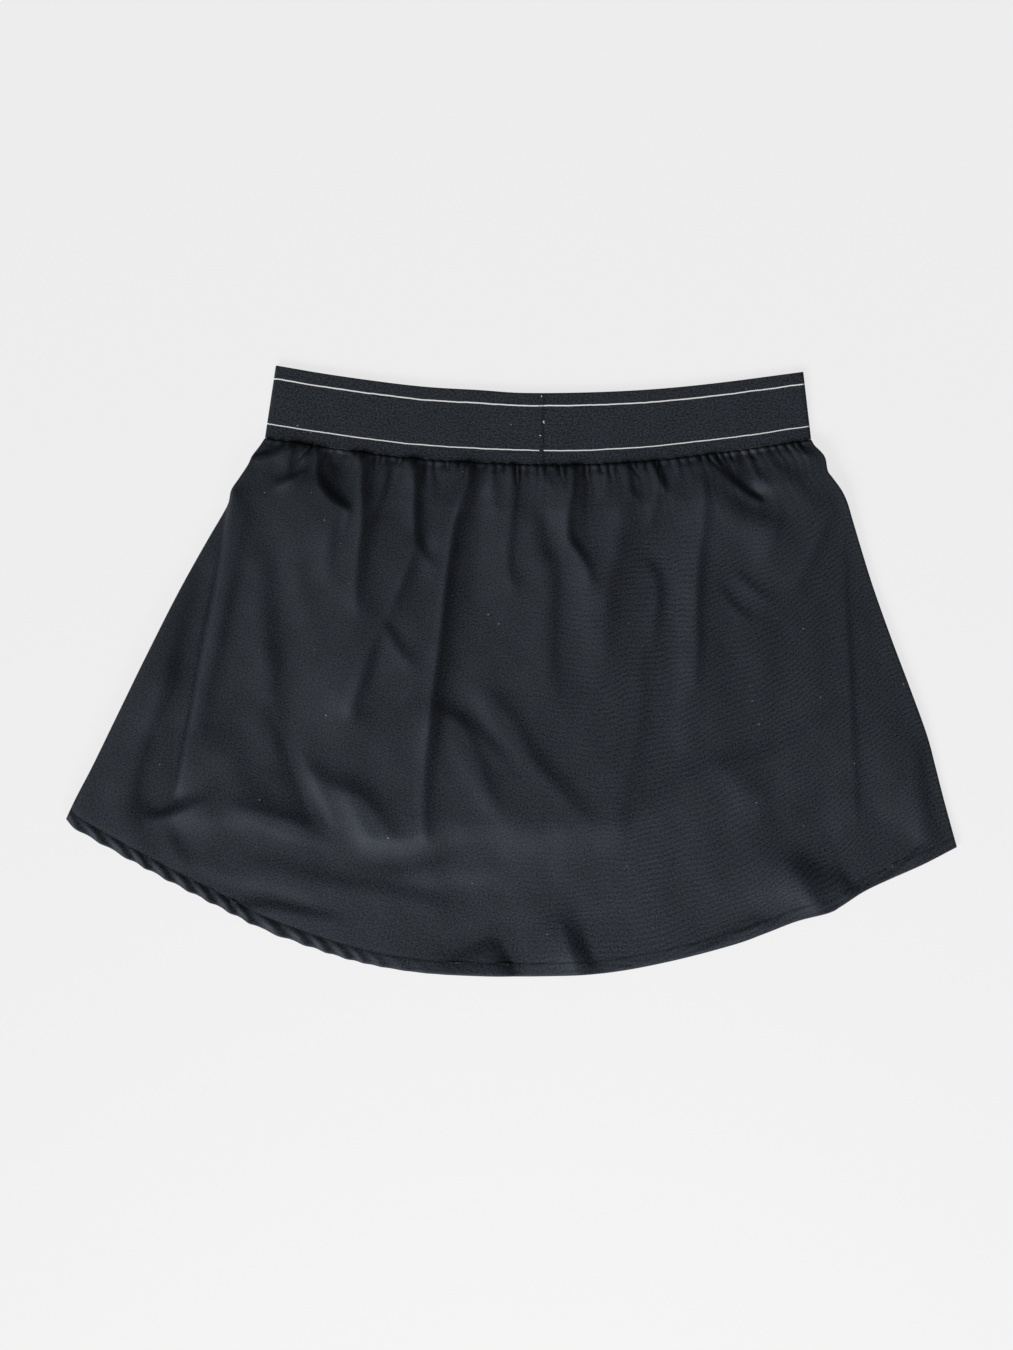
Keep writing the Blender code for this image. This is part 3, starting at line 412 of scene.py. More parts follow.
def read_table(table, value):
    """A table of two columns, read between its rows."""
    places, levels = np.array(table).T
    return np.interp(value, places, levels)


def smooth_curve(points, steps):
    """Points along a Catmull-Rom curve through the given ones."""
    knots = np.array(points, float)
    before = 2.0 * knots[0] - knots[1]
    after = 2.0 * knots[-1] - knots[-2]
    knots = np.vstack([before, knots, after])
    curve = []
    for a, b, c, d in zip(knots, knots[1:], knots[2:], knots[3:]):
        for t in np.arange(steps) / steps:
            curve.append(0.5 * (2.0 * b + (c - a) * t + (2.0 * a - 5.0 * b + 4.0 * c - d) * t ** 2
                                + (3.0 * b - 3.0 * c + d - a) * t ** 3))
    curve.append(knots[-2])
    return np.array(curve)


class Line:
    """A smooth line in the plan, read by its share of the length from 0 to 1."""

    def __init__(self, points, steps=12):
        self.curve = smooth_curve(points, steps)
        runs = np.hypot(*np.diff(self.curve, axis=0).T)
        self.reach = np.concatenate([[0.0], np.cumsum(runs)])
        self.length = self.reach[-1]

    def at(self, share):
        """The point at a share of the length."""
        along = np.asarray(share, float) * self.length
        return np.stack([np.interp(along, self.reach, column) for column in self.curve.T], axis=-1)

    def nearest(self, plan):
        """For each point: distance to the line, share along it, left-hand direction and offset."""
        gap = np.full(len(plan), np.inf)
        along = np.zeros(len(plan))
        left = np.zeros((len(plan), 2))
        side = np.zeros(len(plan))
        for start, run, reach in zip(self.curve, np.diff(self.curve, axis=0), self.reach):
            length = math.hypot(*run)
            across = np.array([-run[1], run[0]]) / length
            offset = plan - start
            share = np.clip(offset @ run / length ** 2, 0.0, 1.0)
            here = np.hypot(*(offset - share[:, None] * run).T)
            nearer = here < gap
            gap[nearer] = here[nearer]
            along[nearer] = (reach + share[nearer] * length) / self.length
            left[nearer] = across
            side[nearer] = (offset @ across)[nearer]
        return gap, along, left, side


# --- Folds ---------------------------------------------------------------------
def fold_rows():
    """The rows of the table of slopes: slopes, reaches and line."""
    for row in SLOPES.strip().replace("\n   ", "").split("\n"):
        _, slopes, reaches, points = row.split(": ")
        line = [tuple(map(float, point.split(","))) for point in points.split()]
        yield list(map(float, slopes.split())), list(map(float, reaches.split())), Line(line, steps=5)


def add_slope(slope_x, slope_y, grid_x, grid_y, slopes, reaches, line):
    """Add one row of the table to the grids of slopes."""
    high_reach, low_reach = reaches
    soft_reach = SOFT_SPREAD * low_reach
    # Further from the line than the margin, nothing is left of the slope.
    margin = 2.5 * max(high_reach, soft_reach)
    low_corner = line.curve.min(axis=0) - margin
    high_corner = line.curve.max(axis=0) + margin
    columns = slice(*np.searchsorted(grid_x, (low_corner[0], high_corner[0])))
    rows = slice(*np.searchsorted(grid_y, (low_corner[1], high_corner[1])))
    plan = np.stack(np.meshgrid(grid_x[columns], grid_y[rows]), axis=-1)
    gap, along, left, side = line.nearest(plan.reshape(-1, 2))
    low = ((1.0 - SOFT_SHARE) * np.exp(-(side / low_reach) ** 2)
           + SOFT_SHARE * np.exp(-(side / soft_reach) ** 2))
    high = np.exp(-(side / high_reach) ** 2)
    past_end = np.maximum(gap ** 2 - side ** 2, 0.0)
    fall = FOLD_DEPTH * np.interp(along, (0.0, 0.5, 1.0), slopes) * np.where(side > 0.0, low, high)
    fall *= np.exp(-past_end / (high_reach * low_reach))
    shape = plan.shape[:2]
    slope_x[rows, columns] -= (fall * left[:, 0]).reshape(shape)
    slope_y[rows, columns] -= (fall * left[:, 1]).reshape(shape)


def settled_folds():
    """The cloth's rise and fall on a square grid, from all its slopes together.

    The heights are those whose slopes come nearest to the asked ones, while the cloth is also
    drawn back to its arch over the reach of a fold.
    """
    grid_x = np.arange(GRID_LEFT, GRID_RIGHT, GRID_STEP)
    grid_y = np.arange(GRID_LOW, GRID_HIGH, GRID_STEP)
    slope_x = np.zeros((len(grid_y), len(grid_x)))
    slope_y = np.zeros_like(slope_x)
    for row in fold_rows():
        add_slope(slope_x, slope_y, grid_x, grid_y, *row)
    spread = np.gradient(slope_x, GRID_STEP, axis=1) + np.gradient(slope_y, GRID_STEP, axis=0)
    mirrored = np.block([[spread, spread[:, ::-1]], [spread[::-1], spread[::-1, ::-1]]])
    tall, wide = mirrored.shape
    wave_x = 2.0 * math.pi * np.fft.fftfreq(wide, GRID_STEP)[None]
    wave_y = 2.0 * math.pi * np.fft.fftfreq(tall, GRID_STEP)[:, None]
    pull = wave_x ** 2 + wave_y ** 2 + 1.0 / FOLD_REACH ** 2
    heights = np.fft.ifft2(-np.fft.fft2(mirrored) / pull).real
    return heights[:tall // 2, :wide // 2]


def read_grid(heights, plan):
    """Heights of the grid at plan points."""
    rows, columns = heights.shape
    column = np.clip((plan[..., 0] - GRID_LEFT) / GRID_STEP, 0.0, columns - 1.001)
    row = np.clip((plan[..., 1] - GRID_LOW) / GRID_STEP, 0.0, rows - 1.001)
    i = column.astype(int)
    j = row.astype(int)
    a = column - i
    b = row - j
    return ((1.0 - b) * ((1.0 - a) * heights[j, i] + a * heights[j, i + 1])
            + b * ((1.0 - a) * heights[j + 1, i] + a * heights[j + 1, i + 1]))


def ripple(plan, wavelength, seed):
    """Smooth random relief of about that wavelength, mostly between -1 and 1."""
    random = np.random.default_rng(seed)
    total = np.zeros(plan.shape[:-1])
    for _ in range(RIPPLE_WAVES):
        turn = random.uniform(0.0, 2.0 * math.pi)
        stretch = random.uniform(0.7, 1.5)
        # Wrinkles run mostly down the skirt, so they vary more across it.
        step = 2.0 * math.pi / (wavelength * stretch)
        across = step * math.cos(turn)
        down = 0.45 * step * math.sin(turn)
        total += np.sin(across * plan[..., 0] + down * plan[..., 1]
                        + random.uniform(0.0, 2.0 * math.pi))
    return total / math.sqrt(2.0 * RIPPLE_WAVES)


# --- Plan and gathers ------------------------------------------------------------
class Panel:
    """A skirt panel's plan: the patch between waistband, side seams and hem."""

    def __init__(self):
        waist = [(x, y - SEAM_GAP) for x, y in BAND_BOTTOM]
        self.top = Line(waist)
        self.left = Line([waist[0]] + SIDE_LEFT[1:])
        self.right = Line([waist[-1]] + SIDE_RIGHT[1:])
        self.hem = Line(HEM)

    def plan(self, across, down):
        """Plan points of one row, at shares across and a share down (a Coons patch)."""
        top = self.top.at(across)
        hem = self.hem.at(across)
        across = across[:, None]
        ruled = ((1.0 - down) * top + down * hem
                 + (1.0 - across) * self.left.at(down) + across * self.right.at(down))
        corners = ((1.0 - down) * ((1.0 - across) * self.top.at(0.0) + across * self.top.at(1.0))
                   + down * ((1.0 - across) * self.hem.at(0.0) + across * self.hem.at(1.0)))
        return ruled - corners

    def grid(self, across, distances, inset):
        """Plan points of all rows, kept inside the outline by the inset."""
        rows = []
        for down in distances / SKIRT_LENGTH:
            edge = inset / np.hypot(*(self.left.at(down) - self.right.at(down)))
            rows.append(self.plan(edge + across * (1.0 - 2.0 * edge), down))
        return np.array(rows)


class Gathers:
    """The gathers of one panel: rounded tubes between notches of uneven depth and length."""

    def __init__(self, phase, seed):
        quick, slow = WIDTH_TURNS
        count = np.arange(GATHERS)
        widths = 1.0 + UNEVEN_WIDTH * (np.sin(quick * count + phase) + 0.6 * np.sin(slow * count))
        self.starts = np.concatenate([[0.0], np.cumsum(widths) / widths.sum()])
        random = np.random.default_rng(seed)
        shallow, deep = NOTCH_SIZES
        short, long = NOTCH_REACHES
        # Deep and long notches are rarer than shallow and short ones.
        self.depths = shallow + (deep - shallow) * random.random(GATHERS + 1) ** 1.5
        self.reaches = short + (long - short) * random.random(GATHERS + 1) ** 1.8
        self.leans = NOTCH_LEAN * random.uniform(-1.0, 1.0, GATHERS + 1)

    def columns(self, per_gather):
        """Shares across the panel, that many to each gather."""
        steps = np.arange(per_gather) / per_gather
        inside = self.starts[:-1, None] + np.diff(self.starts)[:, None] * steps
        return np.append(inside.ravel(), 1.0)

    def heights(self, across, distances, width):
        """Height of the gathers over the cloth's mean, for rows of points."""
        which = np.clip(np.searchsorted(self.starts, across, side="right") - 1, 0, GATHERS - 1)
        span = np.diff(self.starts)[which]
        place = (across - self.starts[which]) / span
        distance = np.maximum(distances, 0.0)[:, None]
        height = CREST_HEIGHT * np.sin(math.pi * place) * np.exp(-distance / CREST_REACH)
        for side in (0, 1):
            notch = which + side
            off = place - side - self.leans[notch] * distance / (span * width)
            fade = np.clip(1.0 - distance / self.reaches[notch], 0.0, 1.0)
            broad = NOTCH_WIDTH * (1.0 + 0.5 * distance / self.reaches[notch])
            height = height - NOTCH_DEPTH * self.depths[notch] * fade * np.exp(-(off / broad) ** 2)
        return height


# --- Meshes --------------------------------------------------------------------
def placed(name, data):
    """An object in the scene with that mesh, light or camera."""
    item = bpy.data.objects.new(name, data)
    bpy.context.scene.collection.objects.link(item)
    return item


def grid_mesh(name, points, uv, values, material, wrap=False):
    """A smooth mesh from rows of points in millimetres, with a UV map and named values."""
    rows, columns = points.shape[:2]
    index = np.arange(rows * columns).reshape(rows, columns)
    if wrap:
        index = np.hstack([index, index[:, :1]])
    faces = np.stack([index[:-1, :-1], index[1:, :-1], index[1:, 1:], index[:-1, 1:]], axis=-1)
    faces = faces.reshape(-1, 4)
    mesh = bpy.data.meshes.new(name)
    mesh.from_pydata((points.reshape(-1, 3) * MM).tolist(), [], faces.tolist())
    corners = mesh.uv_layers.new(name="UVMap").data
    corners.foreach_set("uv", (uv.reshape(-1, 2)[faces.ravel()] * MM).ravel())
    for key, value in values.items():
        layer = mesh.attributes.new(key, "FLOAT", "POINT")
        layer.data.foreach_set("value", value.astype(np.float32).ravel())
    mesh.shade_smooth()
    mesh.update()
    mesh.materials.append(material)
    return placed(name, mesh)


def blurred(values, steps):
    """The rows of values averaged over a square of neighbours."""
    size = 2 * steps + 1
    for _ in range(2):
        total = np.cumsum(np.pad(values, [(steps + 1, steps), (0, 0)], mode="edge"), axis=0)
        values = ((total[size:] - total[:-size]) / size).T
    return values


def rolled(points, inner, reach, drop, turns, inward):
    """Rows that roll an edge over: from its points out and round to its back, then inwards.

    The roll stands out by the reach, and its back is the drop below the points.
    """
    away = (points - inner)[:, :2]
    away = away / np.hypot(*away.T)[:, None]
    rows = []
    for angle in math.pi * np.arange(1, turns + 1) / turns:
        row = points.copy()
        row[:, :2] += reach * math.sin(angle) * away
        row[:, 2] -= drop * 0.5 * (1.0 - math.cos(angle))
        rows.append(row)
    if inward:
        last = rows[-1].copy()
        last[:, :2] -= inward * away
        rows.append(last)
    return rows


def with_rolls(points, reach, turn_in, turns, seam=None):
    """A panel's outer face with its hem and then both its sides rolled over.

    The seam is the height at which the rolled sides end; without it they go right round.
    """
    hem = rolled(points[-1], points[-2], reach, drop=2.0 * reach, turns=4, inward=turn_in)
    points = np.concatenate([points, hem])
    sides = []
    for edge, inner in ((0, 1), (-1, -2)):
        drop = 2.0 * reach if seam is None else points[:, edge, 2] - seam
        sides.append(rolled(points[:, edge], points[:, inner], reach, drop, turns, inward=0.0))
    left, right = sides
    return np.concatenate([np.stack(left[::-1], axis=1), points, np.stack(right, axis=1)], axis=1)


def cloth_uv(points, across, distances):
    """The place in the texture of each point of a panel with its rolls."""
    hem_rows = np.arange(1, len(points) - len(distances) + 1)
    turns = (points.shape[1] - len(across)) // 2
    length = np.append(distances, SKIRT_LENGTH + HEM_ROW_STEP * hem_rows)
    share = np.concatenate([np.zeros(turns), across, np.ones(turns)])
    return np.stack(np.broadcast_arrays(share[None] * TEXTURE_WIDTH, -length[:, None]), axis=-1)


def above_mean(points, steps, gain, limit):
    """How far each point rises over its neighbours, times the gain, within the limit."""
    rise = points[..., 2] - blurred(points[..., 2], steps)
    return np.clip(gain * rise, -limit, limit)


def row_distances(step, end, count, hem_rows):
    """Distances of a panel's rows from the waistband: tucked in, gathered, free, and in the hem."""
    return np.concatenate([TUCKED_ROWS, np.arange(0.0, GATHERED_TO, step),
                           np.linspace(GATHERED_TO, end, count), hem_rows])


# --- Upper panel ---------------------------------------------------------------
def hem_ropes(x, inside):
    """Height share of the turned hem's slanted ropes; inside is the distance from the edge."""
    turn = np.interp(x + ROPE_LEAN * inside / HEM_DEPTH, ROPES, np.arange(len(ROPES)))
    place = (turn + 0.5 * ROPE_FALL) % 1.0
    falling = 1.0 - smooth_step(place / ROPE_FALL)
    rising = smooth_step((place - ROPE_FALL - ROPE_REST) / (1.0 - ROPE_FALL - ROPE_REST))
    return falling + rising


def touching(height):
    """Heights with a soft stop where the cloth would go through what it lies on."""
    return 0.5 * (height + np.sqrt(height ** 2 + CONTACT_SOFTNESS ** 2))


def back_heights(gathers, across, distances, plan):
    """Height of the upper panel's outer face."""
    width = np.hypot(*(plan[:, -1] - plan[:, 0]).T)
    from_side = np.minimum(across, 1.0 - across) * width[:, None]
    from_hem = SKIRT_LENGTH - distances
    lower = (1.0 - read_table(ARCH_ACROSS, across)) * smooth_step(distances / WAIST_REACH)[:, None]
    height = read_table(ARCH, distances)[:, None] * (1.0 - lower)
    folds = read_grid(settled_folds(), plan)
    folds -= blurred(folds, LEVEL_STEPS) * (1.0 - smooth_step(distances / LEVEL_REACH))[:, None]
    share = smooth_step((distances - FOLD_START) / FOLD_GROWTH)
    share *= 1.0 - HEM_CALM * (1.0 - smooth_step(from_hem / HEM_CALM_REACH))
    height += folds * share[:, None]
    height += gathers.heights(across, distances, width[0]) * smooth_step(from_side / SIDE_REACH)
    height = touching(height)
    free = RIPPLE_AT_HEM + (1.0 - RIPPLE_AT_HEM) * smooth_step(from_hem / RIPPLE_HEM_REACH)
    free *= smooth_step(distances / RIPPLE_START)
    for wavelength, size, seed in RIPPLES:
        relief = size * ripple(plan, wavelength, seed)
        height += free[:, None] * smooth_step(from_side / RIPPLE_SIDES) * relief
    # The top edge goes in under the elastic.
    under_band = BAND_DEPTH - ELASTIC - TUCK_GAP
    outer = 2.0 * CLOTH + SEAM_GAP + height
    tuck = smooth_step((distances - TUCK_START) / TUCK_REACHES[0])[:, None]
    return under_band + (outer - under_band) * tuck


def back_cloth(panel, material):
    """The upper panel: gathered, folded, hemmed, and rolled at its edges."""
    gathers = Gathers(BACK_PHASE, seed=11)
    across = gathers.columns(per_gather=8)
    distances = row_distances(step=1.25, end=STITCH_LINE - 0.9, count=146,
                              hem_rows=STITCH_LINE + np.array(HEM_ROWS))
    plan = panel.grid(across, distances, ROLL)
    height = back_heights(gathers, across, distances, plan)

    # The hem is thicker, and puffed and roped between its stitch line and its edge.
    inside = SKIRT_LENGTH - distances[:, None]
    past_line = HEM_DEPTH - inside
    strength = read_table(ROPE_STRENGTH, plan[-1, :, 0])
    ropes = hem_ropes(plan[..., 0], inside) * strength
    shape = smooth_step(past_line / ROPE_START)
    height += HEM_EXTRA * smooth_step(past_line / HEM_START)
    height += PUFF_HEIGHT * strength * smooth_step(past_line / PUFF_REACH)
    height += ROPE_HEIGHT * shape * ropes - GROOVE_DEPTH * np.exp(-(past_line / GROOVE_WIDTH) ** 2)
    down = np.gradient(plan, axis=0)
    down /= np.hypot(down[..., 0], down[..., 1])[..., None]
    pull = ROPE_PULL * shape * (ropes - ROPE_EVEN * strength) * smooth_step(1.0 - inside / PULL_REACH)
    plan = plan + pull[..., None] * down

    points = with_rolls(np.dstack([plan, height]), ROLL, turn_in=HEM_DEPTH - 1.0, turns=6,
                        seam=SEAM_HEIGHT)
    # Relief bends the ribs and, with crest, paints a highlight on rises and shade in hollows into the
    # cloth's colour.
    values = {"relief": above_mean(points, steps=7, gain=1.0, limit=2.0),
              "crest": above_mean(points, steps=2, gain=4.0, limit=1.0)}
    return grid_mesh("back_panel_cloth", points, cloth_uv(points, across, distances), values, material)


# --- Lower panel ---------------------------------------------------------------
def front_cloth(panel, material):
    """The lower panel: its underside lies on the surface, with shallow folds and gathers."""
    gathers = Gathers(FRONT_PHASE, seed=23)
    across = gathers.columns(per_gather=6)
    distances = row_distances(step=2.0, end=SKIRT_LENGTH - ROLL, count=60, hem_rows=[])
    plan = panel.grid(across, distances, ROLL + FRONT_INSET)
    height = UNDER_ARCH + UNDER_GATHERS * gathers.heights(across, distances, panel.top.length)
    height *= np.exp(-(np.maximum(distances, 0.0) / UNDER_ARCH_REACH) ** 2)[:, None]
    for (start, end), points in UNDER_FOLDS:
        gap, along, _, _ = Line(points, steps=5).nearest(plan.reshape(-1, 2))
        lift = (start + (end - start) * along) * np.exp(-(gap / UNDER_FOLD_REACH) ** 2)
        height += lift.reshape(height.shape)
    height *= smooth_step((SKIRT_LENGTH - distances) / UNDER_HEM_REACH)[:, None]
    height *= smooth_step(np.minimum(across, 1.0 - across) / UNDER_SIDE_SHARE)
    tuck = smooth_step((distances - TUCK_START) / TUCK_REACHES[1])[:, None]
    height = UNDER_REST + (ELASTIC + TUCK_GAP) * (1.0 - tuck) + height * tuck

    # Its outer face looks down, so its edges are rolled upside down, and its columns run backwards.
    points = with_rolls(np.dstack([plan, -height]), FRONT_ROLL, UNDER_TURN_IN, turns=4)[:, ::-1]
    # Relief paints a highlight on rises and shade in hollows into the cloth's colour; this face has no
    # crest highlight.
    values = {"relief": above_mean(points, steps=5, gain=1.0, limit=2.0),
              "crest": np.zeros(points.shape[:2])}
    uv = cloth_uv(points, across, distances)[:, ::-1]
    return grid_mesh("front_panel_cloth", points * (1.0, 1.0, -1.0), uv, values, material)


# --- Waistband -----------------------------------------------------------------
def band_section():
    """Round the elastic's section: shares of its height, and of its thickness from outside.

    The points lie closest together at the rounded edges.
    """
    face = np.concatenate([[0.0, 0.01], np.linspace(0.04, 0.96, 22), [0.99, 1.0]])
    turn = 0.5 - 0.5 * np.cos(math.pi * np.arange(1, 6) / 6)
    return ([(share, 0.0) for share in face] + [(1.0, inward) for inward in turn]
            + [(share, 1.0) for share in face[::-1]] + [(0.0, inward) for inward in turn[::-1]])


def waistband(material):
    """The loop of elastic: outer face, rounded edges and inner face as one closed skin."""
    bottom = Line(BAND_BOTTOM)
    top = Line(BAND_TOP)
    radius = BAND_DEPTH / 2.0
    end = radius / bottom.length
    # Round the flattened loop: the upper layer, the right end, the lower layer and the left end.
    upper = end + (1.0 - 2.0 * end) * np.arange(BAND_RUNS) / BAND_RUNS
    angles = math.pi * np.arange(BAND_TURNS) / BAND_TURNS
    bend = end * np.sin(angles)
    along = np.concatenate([upper, 1.0 - end + bend, 1.0 - upper, end - bend])
    half = np.concatenate([np.full(BAND_RUNS, radius), radius * np.cos(angles)])
    level = np.concatenate([half, -half])
    perimeter = bottom.length * np.append(0.0, np.cumsum(np.abs(np.diff(along))))
    past_end = np.clip((np.abs(along - 0.5) - (0.5 - end)) / end, 0.0, 1.0) * np.sign(along - 0.5)
    rows = []
    uvs = []
    for share, inward in band_section():
        plan = (1.0 - share) * bottom.at(along) + share * top.at(along)
        # Inwards through the elastic, the ring shrinks towards the middle of the loop.
        plan[:, 0] -= inward * ELASTIC * past_end
        height = radius + level * (1.0 - inward * ELASTIC / radius)
        # The long edges are rounded over the elastic's thickness.
        plan[:, 1] += EDGE_BULGE * math.sin(math.pi * inward) * (2.0 * share - 1.0)
        x = plan[:, 0]
        lift = JOIN_STEP * smooth_step((x - JOIN_X + JOIN_LAP) / LAP_RISE)
        lift = lift * smooth_step(JOIN_X - x) - BAND_SINK
        for size, length, phase, gain in BAND_WAVES:
            lift += size * np.sin(x / length + phase + gain * share)
        height += lift * smooth_step(level / radius)
        rows.append(np.column_stack([plan, height]))
        uvs.append(np.column_stack([perimeter, np.full(len(perimeter), share * BAND_HEIGHT)]))
    points = np.array(rows + rows[:1])[:, ::-1]
    uv = np.array(uvs + uvs[:1])[:, ::-1]
    piece = grid_mesh("waistband_elastic", points, uv, {}, material, wrap=True)
    piece.modifiers.new("weld", "WELD").merge_threshold = 0.01 * MM
    return piece


# --- Sewing --------------------------------------------------------------------
def stitch_mesh(name, centres, directions, lengths, thickness, material):
    """Small rounded stitches lying along their directions, joined in one mesh."""
    # Place along the stitch and width there, as shares of its length and thickness.
    rings = [(-0.5, 0.35), (-0.32, 0.85), (0.0, 1.0), (0.32, 0.85), (0.5, 0.35)]
    sides = 6
    vertices = []
    faces = []
    for centre, direction, length in zip(centres, directions, lengths):
        direction = direction / np.linalg.norm(direction)
        side = np.cross((0.0, 0.0, 1.0), direction)
        side /= np.linalg.norm(side)
        up = np.cross(direction, side)
        base = len(vertices)
        for place, width in rings:
            for angle in 2.0 * math.pi * np.arange(sides) / sides:
                offset = 0.5 * width * thickness * (math.cos(angle) * side + math.sin(angle) * up)
                vertices.append((centre + place * length * direction + offset) * MM)
        ring = [base + k for k in range(sides)]
        last = [k + (len(rings) - 1) * sides for k in ring]
        faces += [ring[::-1], last]
        for start in range(0, (len(rings) - 1) * sides, sides):
            for a, b in zip(ring, ring[1:] + ring[:1]):
                faces.append([start + a, start + b, start + b + sides, start + a + sides])
    mesh = bpy.data.meshes.new(name)
    mesh.from_pydata([tuple(vertex) for vertex in vertices], [], faces)
    mesh.shade_smooth()
    mesh.materials.append(material)
    return placed(name, mesh)


def on_top(piece, x, y, rise):
    """The point that much over a piece's outer face."""
    _, where, _, _ = piece.ray_cast((x * MM, y * MM, 0.1), (0.0, 0.0, -1.0))
    return np.array([x, y, where.z / MM + rise])


def hem_stitches(panel, cloth, material):
    """The row of stitches that holds the turned hem."""
    count = int(panel.hem.length / STITCH_PITCH)
    across = (np.arange(count) + 0.5) / count
    starts = panel.plan(across, STITCH_LINE / SKIRT_LENGTH)
    ends = panel.plan(across + 0.3 / count, STITCH_LINE / SKIRT_LENGTH)
    centres = [on_top(cloth, x, y, STITCH_RISE) for x, y in starts]
    directions = np.column_stack([ends - starts, np.zeros(count)])
    lengths = STITCH_LENGTH * np.random.default_rng(7).uniform(0.85, 1.05, count)
    return stitch_mesh("hem_stitches", centres, directions, lengths, STITCH_THICKNESS, material)


def join_stitches(band, material):
    """The stitches of the elastic's join, in the middle of the back."""
    low, high = [np.interp(JOIN_X, *Line(edge).curve.T) for edge in (BAND_BOTTOM, BAND_TOP)]
    random = np.random.default_rng(9)
    centres = []
    directions = []
    for step in range(JOIN_STITCHES):
        y = low + (high - low) * (step + 0.5) / JOIN_STITCHES
        for column, lean in JOIN_COLUMNS:
            x = JOIN_X + column + random.uniform(-0.12, 0.12)
            centres.append(on_top(band, x, y, STITCH_RISE))
            directions.append((lean, 1.0, 0.0))
    lengths = JOIN_STITCH_LENGTH * random.uniform(0.8, 1.1, len(centres))
    return stitch_mesh("join_stitches", centres, directions, lengths, JOIN_STITCH_THICKNESS, material)


def join_threads(band, material):
    """Ends of white thread that poke out of the join."""
    centres = [on_top(band, x, y, JOIN_THREAD_RISE) for x, y, _, _ in JOIN_THREADS]
    directions = [(1.0, lean, 0.15) for _, _, _, lean in JOIN_THREADS]
    lengths = [length for _, _, length, _ in JOIN_THREADS]
    return stitch_mesh("join_threads", centres, directions, lengths, JOIN_THREAD_THICKNESS, material)


# --- Materials -------------------------------------------------------------------
class Value:
    """One output of a node; those that are numbers can be added, subtracted and multiplied."""

    def __init__(self, nodes, socket):
        self.nodes = nodes
        self.socket = socket

    def __add__(self, other):
        return self.nodes.math("ADD", self, other)

    def __sub__(self, other):
        return self.nodes.math("SUBTRACT", self, other)

    def __rsub__(self, other):
        return self.nodes.math("SUBTRACT", other, self)

    def __mul__(self, other):
        return self.nodes.math("MULTIPLY", self, other)

    def __abs__(self):
        return self.nodes.math("ABSOLUTE", self)

    __radd__ = __add__
    __rmul__ = __mul__


class Nodes:
    """Short names for building a material's nodes."""

    def __init__(self, name):
        self.material = bpy.data.materials.new(name)
        self.material.use_nodes = True
        self.tree = self.material.node_tree

    def plug(self, node, inputs):
        """Set a node's inputs, by name or number, to values or link them to outputs."""
        for key, value in inputs.items():
            if isinstance(value, Value):
                self.tree.links.new(value.socket, node.inputs[key])
            else:
                node.inputs[key].default_value = value

    def outputs(self, kind, keys, inputs, **settings):
        """Some outputs of a new node with those inputs and settings."""
        node = self.tree.nodes.new(kind)
        for key, value in settings.items():
            setattr(node, key, value)
        self.plug(node, inputs)
        return [Value(self, node.outputs[key]) for key in keys]

    def add(self, kind, inputs, key=0, **settings):
        """One output of a new node, the first unless another is named."""
        return self.outputs(kind, [key], inputs, **settings)[0]

    def math(self, operation, a, b=0.0):
        """The outcome of an operation on two numbers."""
        return self.add("ShaderNodeMath", {0: a, 1: b}, operation=operation)

    def sine(self, value, pitch):
        """A wave between -1 and 1."""
        return self.math("SINE", value * (2.0 * math.pi / pitch))

    def noise(self, vector, scale, detail, roughness=0.5):
        """Random noise around 0.5, with so many features to a metre."""
        return self.add("ShaderNodeTexNoise", {"Vector": vector, "Scale": scale, "Detail": detail,
                                               "Roughness": roughness})

    def ramp(self, value, low, high, start, end, kind="LINEAR"):
        """What goes from start to end while a value goes from low to high."""
        return self.add("ShaderNodeMapRange", {"Value": value, "From Min": low, "From Max": high,
                                               "To Min": start, "To Max": end}, interpolation_type=kind)

    def scaled(self, colour, tone):
        """A colour times a number."""
        return self.add("ShaderNodeVectorMath", {0: colour, "Scale": tone}, operation="SCALE")

    def stretched(self, vector, factors):
        """A vector times another."""
        return self.add("ShaderNodeVectorMath", {0: vector, 1: factors}, operation="MULTIPLY")

    def mix(self, factor, a, b):
        """A mix of two colours."""
        return self.add("ShaderNodeMix", {0: factor, 6: a, 7: b}, 2, data_type="RGBA")

    def texture_place(self):
        """The place in the texture, and its two parts."""
        uv = self.add("ShaderNodeUVMap", {}, uv_map="UVMap")
        return uv, *self.outputs("ShaderNodeSeparateXYZ", [0, 1], {0: uv})

    def bump(self, height, strength, distance):
        """The normal of a surface with that height."""
        return self.add("ShaderNodeBump", {"Height": height, "Strength": strength,
                                           "Distance": distance})

    def finish(self, inputs):
        """The material, with those inputs of its shader."""
        self.plug(self.tree.nodes["Principled BSDF"], inputs)
        return self.material


def lint(nodes, uv):
    """1 on sparse specks of lint, on what faces up, and 0 between them."""
    normal = nodes.add("ShaderNodeNewGeometry", {}, "Normal")
    rise = nodes.add("ShaderNodeSeparateXYZ", {0: normal}, 2)
    colour, distance = nodes.outputs("ShaderNodeTexVoronoi", ["Color", "Distance"],
                                     {"Vector": uv, "Scale": LINT_CELLS})
    radius = LINT_SIZE * (nodes.add("ShaderNodeSeparateColor", {0: colour}) - LINT_SHARE)
    return nodes.math("GREATER_THAN", rise, LINT_FACING) * nodes.math("LESS_THAN", distance, radius)


